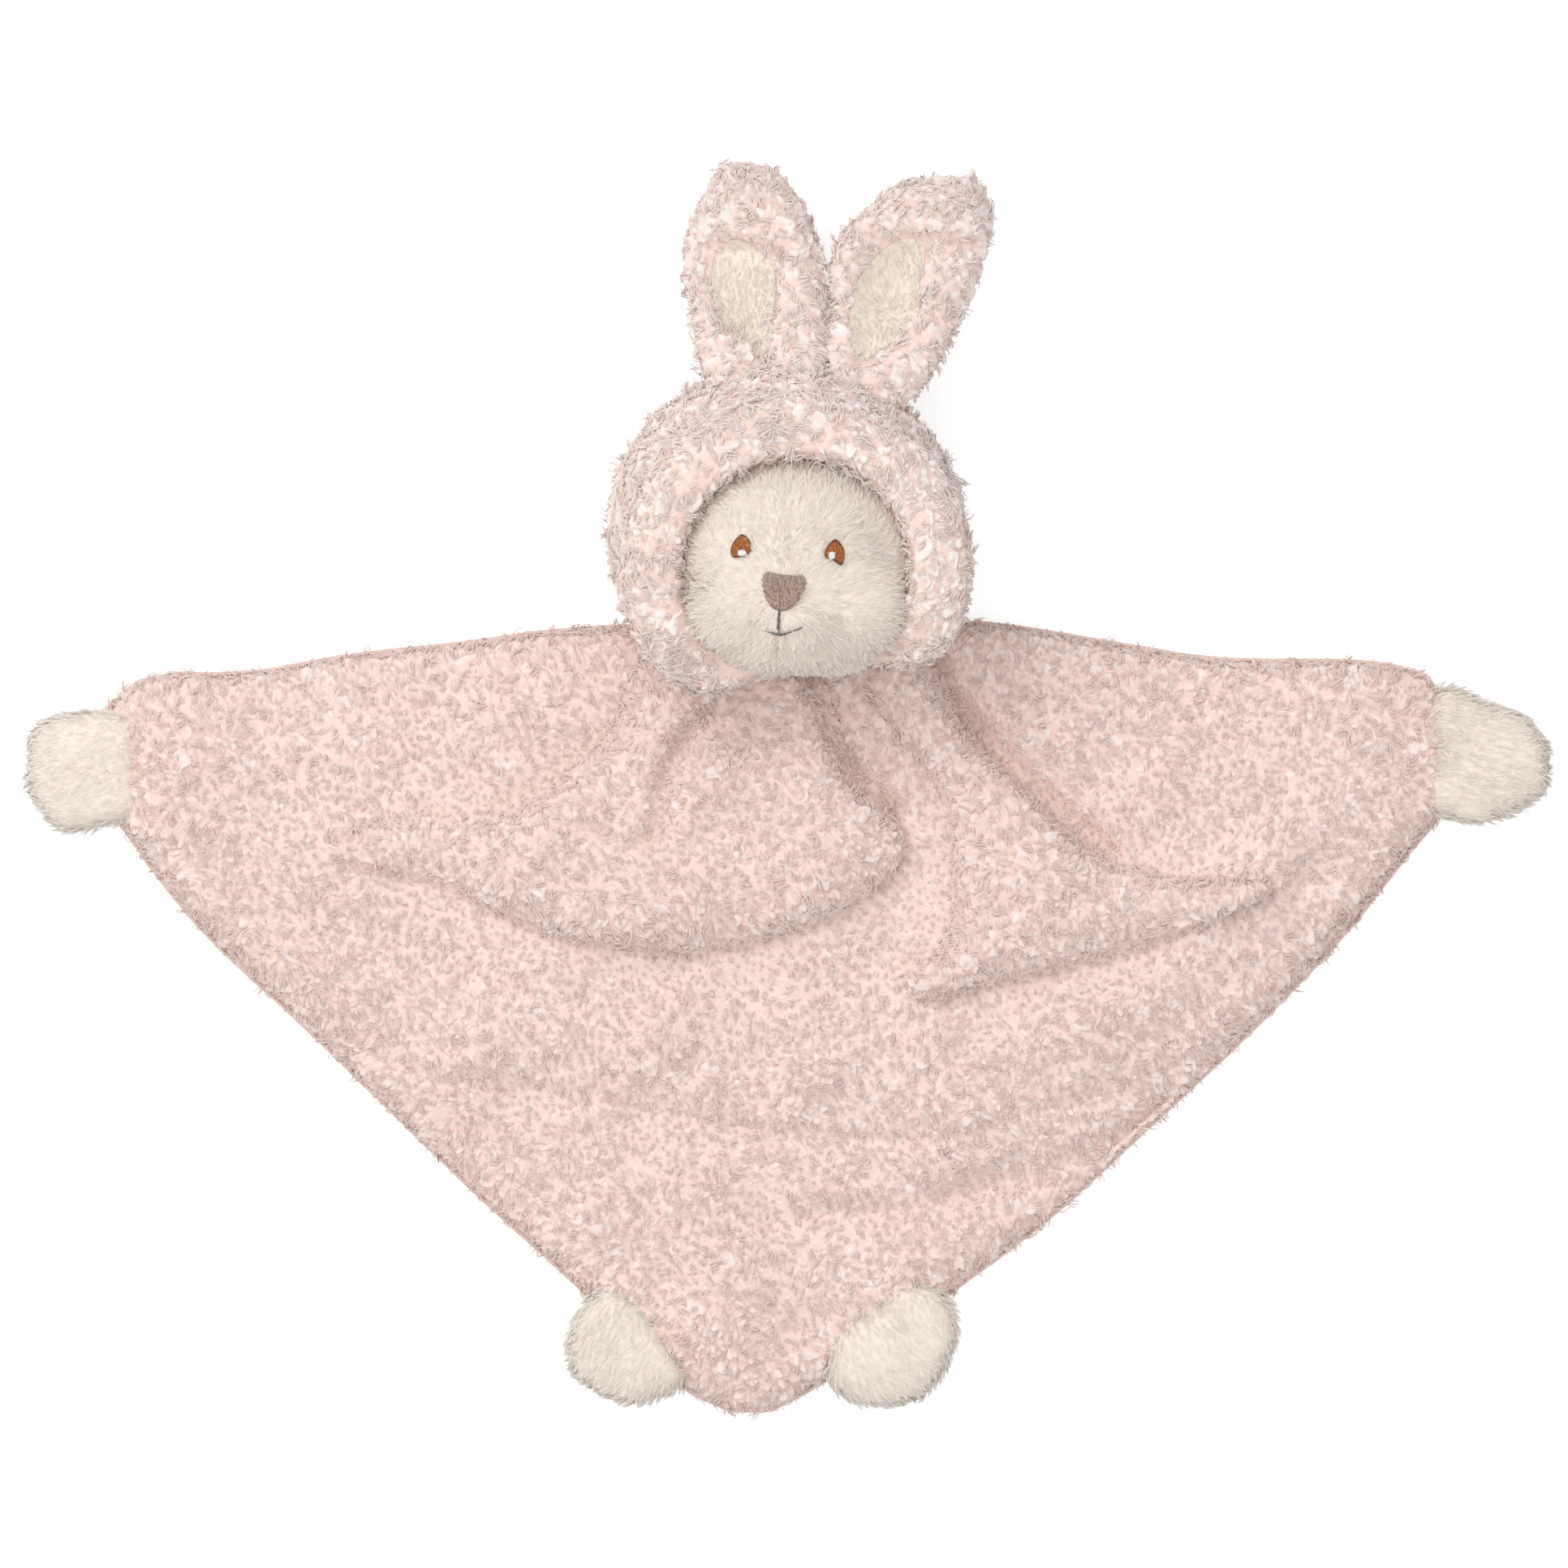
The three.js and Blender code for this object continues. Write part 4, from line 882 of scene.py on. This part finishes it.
def face_cloth():
    grow = -CREAM_PILE * 0.6
    cheek = [ball(FACE_CENTRE + np.array([s * 14.0, -9.0, 9.0]), np.array([15.0, 14.0, 16.0])) for s in (-1, 1)]
    parts = [
        ball(FACE_CENTRE, FACE_RADII + grow, 48, 30), ball(MUZZLE_CENTRE, MUZZLE_RADII + grow, 36, 24), *cheek]
    verts, tris = fuse(parts, 1.3, 6)
    verts = drawn_up(verts, FACE_EDGE)
    x, y = verts[:, 0], verts[:, 1]
    front = smoothstep(verts[:, 2], 60, 70)
    chin = np.exp(-(((x + 1.6) / 1.9) ** 2)) * smoothstep(-y, -13, -9) * 1.3
    mouth = 0.9 * np.exp(-(((y - 13.2 - 0.05 * (x - 0.5) ** 2) / 1.6) ** 2)) * (np.abs(x + 0.5) < 8)
    eyes = sum(1.5 * np.exp(-(((x - ex) / 4.5) ** 2 + ((y - ey) / 5.5) ** 2)) for ex, ey in EYE_DENTS)
    verts[:, 2] -= front * (chin + mouth + eyes)
    return verts, tris


face_verts, face_tris = face_cloth()
hood_verts, hood_tris = hood_cloth()


def neck_bend(piece):
    """The piece's placement, baked into its mesh."""
    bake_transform(piece)


hood = build_object("hood_cloth", hood_verts, hood_tris, PINK_CLOTH)
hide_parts("hood_front", "hood_back", "head_filling")
neck_bend(hood)
face = build_object("face_cloth", face_verts, face_tris, CREAM_CLOTH, "head")
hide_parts("face_panel")


def fur_skin(verts, tris, keep, flow_at, seed, kind, split):
    """Tufts over the kept part of a cloth, cut in two or more by the split's group numbers."""
    shown = keep(verts[tris].mean(1), point_normals(verts, tris)[tris[:, 0]])
    fine, fine_tris = refine(verts, tris[shown], 2)
    skin = tufts(fine, fine_tris, flow_at(fine), np.full(len(fine), HOOD_HIGH), seed, **kind)
    under = point_normals(fine, fine_tris)[fine_tris[:, 0], 2] < 0
    return list(cut(skin, split(fine[fine_tris].mean(1)) * 2 + under))


def hood_pile():
    def keep(p, n):
        in_face = ((((p - FACE_CENTRE) / (FACE_RADII + 0.5)) ** 2).sum(1) < 1) & (p[:, 2] > 44)
        return ~in_face & ~((opening_share(p) < 0.95) & (p[:, 2] > 50) & (n[:, 2] > 0.3))

    def flow_at(p):
        away = unit(p - FACE_CENTRE * np.array([1, 1, 0.9]))
        inner = smoothstep(-np.sqrt(opening_share(p)), -1.3, -1.0) * (p[:, 2] > 50)
        return lean_coarse(p) * 0.6 + lean_fine(p) * 0.5 + away * (0.2 - 1.2 * inner[:, None])

    parts = fur_skin(hood_verts, hood_tris, keep, flow_at, 231, HOOD_TUFTS, lambda p: p[:, 0] < 0)
    inner = lambda p, n: (opening_share(p) < 1.7) & (p[:, 2] > 50) & (n[:, 2] < 0)
    p, n = scatter(hood_verts, hood_tris, HOOD_SPACING, 31, lambda p, n: keep(p, n) & ~inner(p, n))
    flow = flow_at(p) + 0.5 * jitter(7, p)
    for i in range(2):
        c = (p[:, 0] < 0) == (i == 1)
        made = pile(
            p[c], n[c], flow[c], seed=200 + i, curl=0.7, scale=0.95 + 0.15 * length_waves(p[c]), **HOOD_LOCKS)
        piece = sherpa_object(f"hood_pile_{i + 1}", parts[2 * i:2 * i + 2], made, HOOD_PINK, None)
        neck_bend(piece)


hood_pile()


# -------------------- Embroidery

THREAD, EYE_SCALE = 0.22, 0.93
EYES = {
    "left": dict(
        outline=[
            (-10.8, 40.3), (-9.7, 39.7), (-8.8, 38.6), (-8.4, 37.3), (-8.5, 36.0), (-9.3, 35.1), (-10.8, 34.4),
            (-12.3, 34.1), (-13.4, 34.3), (-13.8, 35.4), (-13.7, 36.7), (-13.0, 38.2), (-12.0, 39.5),
        ], apex=(-10.6, 30.5), glint=(-10.9, 35.4, 1.2, 0.85)),
    "right": dict(
        outline=[
            (13.5, 39.0), (14.5, 38.2), (15.4, 36.9), (15.8, 35.4), (15.7, 33.6), (15.0, 32.0), (14.0, 32.6),
            (12.4, 33.6), (10.7, 34.3), (10.6, 35.4), (11.2, 36.7), (12.3, 38.2),
        ], apex=(14.2, 27.0), glint=(12.6, 34.7, 0.95, 1.1)),
}
NOSE = [
    (-5.6, 28.9), (-5.0, 30.0), (-3.8, 30.4), (-2.4, 30.0), (-0.6, 29.7), (2.0, 29.4), (3.6, 29.3), (4.6, 29.7),
    (5.5, 28.8), (5.8, 27.3), (5.3, 25.5), (4.2, 23.7), (2.9, 21.9), (1.2, 20.6), (-0.6, 20.3), (-2.2, 20.7),
    (-3.8, 21.8), (-4.9, 24.0), (-5.4, 26.3),
]


def sewn_over(p):
    """True under the eyes and the nose, where the nap is flattened by the stitches."""
    shapes = [closed_curve(shape, 40) for shape in (EYES["left"]["outline"], EYES["right"]["outline"], NOSE)]
    return (p[:, 2] > 60) & np.any([depth_inside(shape, p[:, :2]) > 0.4 for shape in shapes], axis=0)


def face_pile():
    p, n = scatter(
        face_verts, face_tris, 0.8, 41,
        keep=lambda p, n: ~sewn_over(p) & (
            (opening_share(p) < 1.45) & (p[:, 2] > 55) & (n[:, 2] > -0.1) | (p[:, 1] < 16) & (p[:, 2] > 38)))
    nose = np.array([0.0, 24.0, 80.0])
    away = unit(p - nose)
    lean = away + 0.25 * lean_coarse(p) + 0.25 * jitter(8, p)
    upper = n[:, 2] > 0.05
    for part, on, fibre in (("face_pile", upper, 0.16), ("face_under_pile", ~upper, 0.22)):
        made = pile(
            p[on], n[on], lean[on], seed=213, length=2.6, fibre=fibre, gloss=0.3, ribbons=on is upper,
            turns=False, **NAP)
        pile_object(part, made, CREAM, "head")


face_pile()


def face_level(xy):
    """Level of the face's cloth under flat points, with the depth of the nap over it."""
    front = face_verts[face_verts[:, 2] > 60]
    away = ((np.asarray(xy, float)[:, None] - front[None, :, :2]) ** 2).sum(-1)
    weight = np.exp(-away / 1.2)
    return (weight * front[:, 2]).sum(1) / weight.sum(1) + CREAM_PILE * 0.4


def satin(outline, apex, rise, spacing):
    """Threads side by side that fan from an apex and fill an outline, over a padded middle."""
    apex = np.array(apex, float)
    ray = outline - apex
    angle = np.arctan2(ray[:, 1], ray[:, 0])
    far = np.linalg.norm(ray, axis=1).max()
    middle = np.linalg.norm(ray, axis=1).mean()
    parts = []
    for k, a in enumerate(np.arange(angle.min() + spacing / middle / 2, angle.max(), spacing / middle)):
        way = np.array([math.cos(a), math.sin(a)])
        t = np.linspace(0, far, 160)
        inside = depth_inside(outline, apex + t[:, None] * way) > 0
        if inside.sum() < 4:
            continue
        t = t[inside]
        t = np.linspace(t[0], t[-1], 9)
        flat = apex + t[:, None] * way
        end = rolled(np.minimum(t - t[0], t[-1] - t) + 0.02, 1.1)
        side = rolled(depth_inside(outline, flat), 1.6)
        height = face_level(flat) + rise * (0.25 + 0.75 * np.minimum(end, side)) + 0.12 * (k % 2)
        height[[0, -1]] -= 0.7
        parts.append(tube(np.c_[flat, height], THREAD * np.clip(t / middle, 0.6, 1.1), 6))
    return parts


def stitched(name, parts, material, node, body="head"):
    verts, tris = joined(parts)
    obj = build_object(name, verts, tris, material, body)
    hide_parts(node)
    return obj


def stitch_line(points, radius, lift):
    """One laid thread along flat points, with its ends pulled into the cloth."""
    flat = even(points, 4 * len(points))
    height = face_level(flat) + lift
    height[[0, -1]] -= 0.8
    return tube(np.c_[flat, height], radius, 6)


# Piece, node, material, slot and lines: flat points, radius, lift over the nap
LAID_THREADS = [
    ("philtrum_thread", "philtrum_stitch", GREY_THREAD, "grey_thread", [
        ([(-1.2, 20.6), (-1.4, 18.0), (-1.6, 15.4)], 0.26, 0.5),
        ([(-1.0, 20.4), (-1.1, 17.8), (-1.2, 14.6)], 0.2, 0.35)]),
    ("mouth_thread", "mouth_stitch", GREY_THREAD, "grey_thread", [
        ([(-3.0, 14.5), (-2.0, 14.2), (-0.9, 14.0), (0.5, 14.3)], 0.34, 0.6),
        ([(0.2, 14.2), (2.0, 14.8), (3.9, 15.5), (5.6, 16.4)], 0.22, 0.35),
        ([(-2.9, 14.5), (-4.4, 14.9), (-5.6, 15.3)], 0.14, 0.05)]),
    ("chin_thread", "chin_stitch", CREAM_THREAD, "cream_thread", [
        ([(-1.7, 13.2), (-1.9, 11.0), (-2.1, 8.2)], 0.3, -0.2)]),
]


def embroidery():
    for side, eye in EYES.items():
        shape = closed_curve(eye["outline"], 70)
        shape = shape.mean(0) + EYE_SCALE * (shape - shape.mean(0))
        threads = satin(shape, eye["apex"], 0.9, 0.3)
        stitched(f"eye_{side}_satin", threads, BROWN_THREAD, f"eye_{side}")
        edge = np.c_[shape, face_level(shape) + 0.35]
        rim = build_object(f"eye_{side}_edge", *tube(edge, 0.16, 6, closed=True), EDGE_THREAD, "head")
        x, y, w, h = eye["glint"]
        a = np.linspace(0, 2 * np.pi, 24, endpoint=False)
        patch = np.c_[x + w * np.cos(a), y + h * np.sin(a)]
        stitched(
            f"eye_{side}_glint_satin", satin(patch, (x, y - 9), 1.5, 0.26), WHITE_THREAD, f"eye_{side}_glint")
    nose = satin(closed_curve(NOSE, 110), (-0.9, 17.5), 1.5, 0.46)
    stitched("nose_satin", nose, TAUPE_THREAD, "nose")
    for piece, node, material, slot, lines in LAID_THREADS:
        stitched(piece, [stitch_line(*line) for line in lines], material, node)


embroidery()
neck_x = np.linspace(-32, 33, 60)
neck_y = HEAD_CENTRE[1] - HEAD_RADII[1] * np.sqrt(1 - ((neck_x - HEAD_CENTRE[0]) / HEAD_RADII[0]) ** 2)
neck_line = np.c_[neck_x, neck_y, blanket_top(np.c_[neck_x, neck_y]) - 4.5]
neck_bend(stitched(
    "neck_seam_thread", [tube(neck_line, 0.8, 8)], PINK_THREAD, "neck_seam", None))
turn = np.linspace(0, 2 * np.pi, 120, endpoint=False)
ring = HEAD_CENTRE + (HEAD_RADII - 3.4) * np.stack([np.cos(turn), np.sin(turn), 0 * turn], 1)
stitched("hood_seam_thread", [tube(lifted(ring), 0.7, 8, closed=True)], PINK_THREAD, "hood_seam")
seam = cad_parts["blanket_seam"].data
seam.materials.clear()
seam.materials.append(PINK_THREAD)

# -------------------- Ears

EAR_SLOPE = math.radians(26)
EAR_THICK, EAR_ROUND = 5.2, 9.0
EARS = {
    "left": dict(
        base=(-9.8, 84.3, 44.0), lean=math.radians(2), flap=((-28, 118), (12, 113)),
        outline=[
            (-20, 74), (-5, 72), (10, 76), (13, 88), (13.6, 98), (12.7, 108), (10.8, 118), (9.0, 124.5),
            (3.8, 133), (0.4, 137.7), (-5, 140.5), (-12.2, 141), (-17.9, 140.2), (-19.7, 136.6), (-22.8, 130.3),
            (-27, 122.5), (-28.3, 115.5), (-27.6, 106), (-26, 97), (-25, 89), (-23, 81),
        ],
        lining=[
            (-5.3, 86.3), (-3.1, 94.7), (-2.2, 103.3), (-2.5, 109.6), (-7.1, 115.8), (-12.3, 118.4),
            (-16.6, 116.5), (-18.4, 111.4), (-18.8, 105.6), (-16.4, 97.6), (-11.7, 92.6), (-8.2, 89.2),
        ],
        crease=[(-13, 117), (-10.5, 106), (-7.5, 96), (-5.5, 87)]),
    "right": dict(
        base=(26.0, 78.2, 44.0), lean=math.radians(-18), flap=((10, 121), (58, 117)),
        outline=[
            (12, 74), (24, 68), (34, 74), (40, 81), (45, 89), (48.5, 97.7), (51.5, 103.5), (54, 111.4),
            (56.5, 120), (56.8, 126.5), (51.6, 136), (43.3, 137.2), (36.5, 136.8), (29.6, 135.4), (22.4, 129.9),
            (16.2, 124.3), (12.0, 118.5), (10.4, 109), (9.8, 98), (9.8, 86),
        ],
        lining=[
            (20, 86), (26.2, 89.8), (31.9, 93.7), (34.8, 97.6), (35.9, 102.2), (35.6, 107.9), (37.1, 113.6),
            (36.5, 118), (33, 119), (27.9, 116.8), (23.3, 112.8), (19.3, 106.8), (18, 102.2), (17.4, 96.4),
            (18, 90.7),
        ],
        crease=[(33, 117), (29, 107), (24, 97), (20, 87)]),
}


def side_of(line, xy):
    """Distance to the left of a line through two flat points."""
    a, b = np.array(line[0], float), np.array(line[1], float)
    way = (b - a) / np.linalg.norm(b - a)
    return way[0] * (xy[:, 1] - a[1]) - way[1] * (xy[:, 0] - a[0])


def pad(loop, mid, above, below, radius, step):
    """A stuffed pad: an upper and an under skin that meet at its outline."""
    top = lambda xy: mid(xy) + above(xy) * rolled(depth_inside(loop, xy), radius)
    verts, tris = pillow(loop, [(0.0, mid)], top, step)
    n = len(loop)
    low = verts[n:].copy()
    low[:, 2] = mid(low[:, :2]) - below(low[:, :2]) * rolled(depth_inside(loop, low[:, :2]), radius)
    under = np.where(tris >= n, tris + len(low), tris)[:, ::-1]
    return np.vstack([verts, low]), np.vstack([tris, under])


def ear_mid(ear):
    way = np.array([-math.sin(ear["lean"]), math.cos(ear["lean"])])
    base = np.array(ear["base"])
    return lambda xy: base[2] - np.tan(EAR_SLOPE) * ((xy - base[:2]) @ way)


def ear_front(ear):
    """Height of the ear's front over its middle: cupped round the lining, with a folded tip."""
    crease = even(ear["crease"], 12)
    lining = closed_curve(ear["lining"], 60)

    def height(xy):
        cup = 4.2 * smoothstep(depth_inside(lining, xy), -7, 4)
        line = 1.0 * np.exp(-2 * (line_distance(crease, xy) / 3.0) ** 2)
        flap = 4.5 * smoothstep(side_of(ear["flap"], xy), -1.0, 4.5)
        return EAR_THICK + flap - cup * (1 - smoothstep(side_of(ear["flap"], xy), 0, 4)) - line
    return height


def build_ear(side):
    ear, body = EARS[side], f"ear_{side}"
    edge = inset_ring(closed_curve(ear["outline"], 110), 2.2)
    mid, front_height = ear_mid(ear), ear_front(ear)
    verts, tris = pad(edge, mid, front_height, level(EAR_THICK), EAR_ROUND, 2.4)
    cloth = build_object(f"{body}_cloth", verts, tris, PINK_CLOTH, body)
    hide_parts(f"{body}_outer", f"{body}_seam")

    patch = closed_curve(ear["lining"], 60)
    top = lambda xy: mid(xy) + front_height(xy) * rolled(depth_inside(edge, xy), EAR_ROUND)
    lining_verts, lining_tris = pillow(patch, [(0.0, lambda xy: top(xy) + 0.35)], lambda xy: top(xy) + 0.5, 2.0)
    lining = build_object(f"{body}_lining_cloth", lining_verts, lining_tris, CREAM_CLOTH, body)
    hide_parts(f"{body}_lining")

    way = np.array([-math.sin(ear["lean"]), math.cos(ear["lean"]), -0.45])
    middle = np.array([np.mean([q[0] for q in ear["outline"]]), np.mean([q[1] for q in ear["outline"]]), 0])
    seed = 300 if side == "left" else 320
    keep = lambda p, n: ~((depth_inside(patch, p[:, :2]) > -0.3) & (n[:, 2] > 0.2))

    def flow_at(p):
        out = unit((p - middle) * np.array([1, 0.6, 0]))
        rim = 1 - smoothstep(depth_inside(edge, p[:, :2]), 0, 6)
        return lean_coarse(p) * 0.4 + lean_fine(p) * 0.45 + way * 0.3 + out * (0.25 + 0.5 * rim[:, None])

    parts = fur_skin(verts, tris, keep, flow_at, seed + 4, EAR_TUFTS, lambda p: 0)
    p, n = scatter(verts, tris, HOOD_SPACING, seed, keep=keep)
    made = pile(
        p, n, flow_at(p) + 0.45 * jitter(seed, p), seed=seed + 1, curl=0.6, scale=0.95 + 0.12 * length_waves(p),
        **HOOD_LOCKS)
    sherpa_object(f"{body}_pile", parts, made, HOOD_PINK, body)

    p, n = scatter(lining_verts, lining_tris, 0.95, seed + 2)
    made = pile(p, n, 0.25 * lean_coarse(p) - way, seed=seed + 3, length=2.4, fibre=0.16, ribbons=True, **NAP)
    velvet = pile_object(f"{body}_lining_pile", made, LINING, body)


for side in EARS:
    build_ear(side)

# -------------------- Paws and feet

LIMB_MID, LIMB_HALF, LIMB_ROUND = 7.2, 6.4, 8.0
LIMBS = {
    "arm_left": dict(
        outline=[
            (-170, -6), (-181.5, -4.1), (-187, -4.3), (-192.5, -5.2), (-196.4, -7.1), (-199.6, -10.2),
            (-200.6, -14), (-200.8, -19), (-201.1, -23.5), (-199.6, -28), (-197, -32.4), (-194.4, -36),
            (-190.3, -38.4), (-186, -38.3), (-180, -37.2), (-170, -34), (-168, -20),
        ], way=(-1, -0.05), seam=(-178.8, -20)),
    "arm_right": dict(
        outline=[
            (168, -3), (175.5, -0.2), (180.5, -1.8), (184.5, -3.9), (190.5, -5.8), (194.6, -7.6), (198.2, -11.4),
            (200.3, -15.5), (200.9, -19.8), (200.4, -23.4), (198.9, -27.1), (195, -29.5), (189.6, -32.1),
            (182.5, -33.8), (176.5, -32.8), (168, -30), (166, -16),
        ], way=(1, -0.15), seam=(177.5, -17)),
    "foot_left": dict(
        outline=[
            (-48, -156), (-53.2, -161), (-56.3, -165.2), (-57.9, -170), (-58.2, -175.5), (-56.9, -180.3),
            (-53.6, -183.9), (-48.5, -187.3), (-42.5, -189.4), (-37, -189.3), (-32, -187.8), (-28, -186),
            (-24, -182), (-30, -170), (-39, -159),
        ], way=(-0.7, -0.7), seam=(-41.5, -172.5)),
    "foot_right": dict(
        outline=[
            (36, -157), (42.2, -161.5), (44.1, -166.5), (44.1, -171.5), (42, -177), (39.2, -181.8),
            (35.2, -185.6), (30.5, -187.5), (24.5, -187.9), (18.8, -187), (14.7, -184), (12.5, -180),
            (14, -172), (24, -163),
        ], way=(0.6, -0.8), seam=(27.8, -171)),
}


def build_limb(name):
    limb = LIMBS[name]
    edge = inset_ring(closed_curve(limb["outline"], 90), 1.3)
    verts, tris = pad(edge, level(LIMB_MID), level(LIMB_HALF), level(LIMB_HALF), LIMB_ROUND, 2.2)
    way = np.array([*limb["way"], 0.0])
    way /= np.linalg.norm(way)
    seam = np.array([*limb["seam"], LIMB_MID])
    cloth = build_object(f"{name}_cloth", verts, tris, CREAM_CLOTH)
    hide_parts(f"{name}_cover", f"{name}_filling", f"{name}_seam")
    seed = 400 + 10 * list(LIMBS).index(name)
    p, n = scatter(verts, tris, 1.0, seed, keep=lambda p, n: (p - seam) @ way > -9)
    lean = way * 1.1 + 0.15 * lean_coarse(p) + 0.12 * jitter(seed, p)
    naps = []
    upper = n[:, 2] > 0.45
    for part, on, fibres, fibre in (("nap", upper, 5, 0.17), ("side_nap", ~upper, 4, 0.22)):
        made = pile(
            p[on], n[on], lean[on], seed=seed + 1, length=2.8, fibres=fibres, fibre=fibre, gloss=0.12,
            ribbons=on is upper, **NAP)
        nap = pile_object(f"{name}_{part}", made, CREAM, None)
        naps.append(nap)
    for piece in (cloth, *naps):
        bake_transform(piece)


for name in LIMBS:
    build_limb(name)

# -------------------- Stage

FLOOR_REACH = 9000


def backdrop_rays(tree):
    """1 for rays that see the backdrop as white: from the camera, or by way of gloss or glass."""
    path = add_node(tree, "LightPath")
    seen = path.outputs["Is Camera Ray"]
    for kind in ("Is Glossy Ray", "Is Transmission Ray"):
        either = add_node(tree, "Math", seen, path.outputs[kind])
        either.operation = "MAXIMUM"
        seen = either.outputs[0]
    return seen


def backdrop(tree, plain, seen, end):
    """The backdrop's shading: plain for the light on the object, and as it is to be seen."""
    mix = add_node(tree, "MixShader", backdrop_rays(tree), plain, seen)
    add_node(tree, end, mix.outputs[0])


def grey(value):
    return value, value, value, 1


def white_stage():
    """A pale floor and surround that the camera sees as white, with the object's soft shadow."""
    mat = bpy.data.materials.new("floor")
    world = bpy.context.scene.world or bpy.data.worlds.new("world")
    bpy.context.scene.world = world
    for owner in (mat, world):
        owner.use_nodes = True
        owner.node_tree.nodes.clear()
    tree = mat.node_tree
    plain = add_node(tree, "BsdfDiffuse", Color=grey(0.8))
    shaded = add_node(tree, "BsdfDiffuse", Color=grey(0.55))
    glow = add_node(tree, "Emission", Strength=0.68)
    seen = add_node(tree, "AddShader", shaded.outputs[0], glow.outputs[0])
    backdrop(tree, plain.outputs[0], seen.outputs[0], "OutputMaterial")
    tree = world.node_tree
    ambient = add_node(tree, "Background", Color=grey(1.0), Strength=0.6)
    white = add_node(tree, "Background", Color=grey(1.0), Strength=1.0)
    backdrop(tree, ambient.outputs[0], white.outputs[0], "OutputWorld")
    corners = FLOOR_REACH * np.array([(-1, -1, 0), (1, -1, 0), (1, 1, 0), (-1, 1, 0)])
    build_object("floor", corners, np.array([[0, 1, 2, 3]]), mat)


def soft_lamp(name, place, aim, size, power):
    data = bpy.data.lights.new(name, "AREA")
    data.shape, data.size, data.energy = "DISK", size, power
    lamp = bpy.data.objects.new(name, data)
    bpy.context.scene.collection.objects.link(lamp)
    lamp.location = place
    lamp.rotation_mode = "QUATERNION"
    lamp.rotation_quaternion = (Vector(aim) - Vector(place)).to_track_quat("-Z", "Y")


def camera():
    data = bpy.data.cameras.new("camera")
    data.sensor_width, data.lens = 36.0, 36.0 * 4.0 / 0.4133
    data.clip_start, data.clip_end = 0.1, 60
    cam = bpy.data.objects.new("camera", data)
    bpy.context.scene.collection.objects.link(cam)
    cam.location = (0.0001, -0.0247, 4.02)
    bpy.context.scene.camera = cam


white_stage()
soft_lamp("window_lamp", (-0.9, 0.9, 1.8), (0, 0, 0), 1.3, 14.5)
soft_lamp("overhead_lamp", (-0.1, -0.2, 2.6), (0, 0, 0), 1.6, 18.5)
camera()
bpy.context.scene.view_settings.view_transform = "Standard"
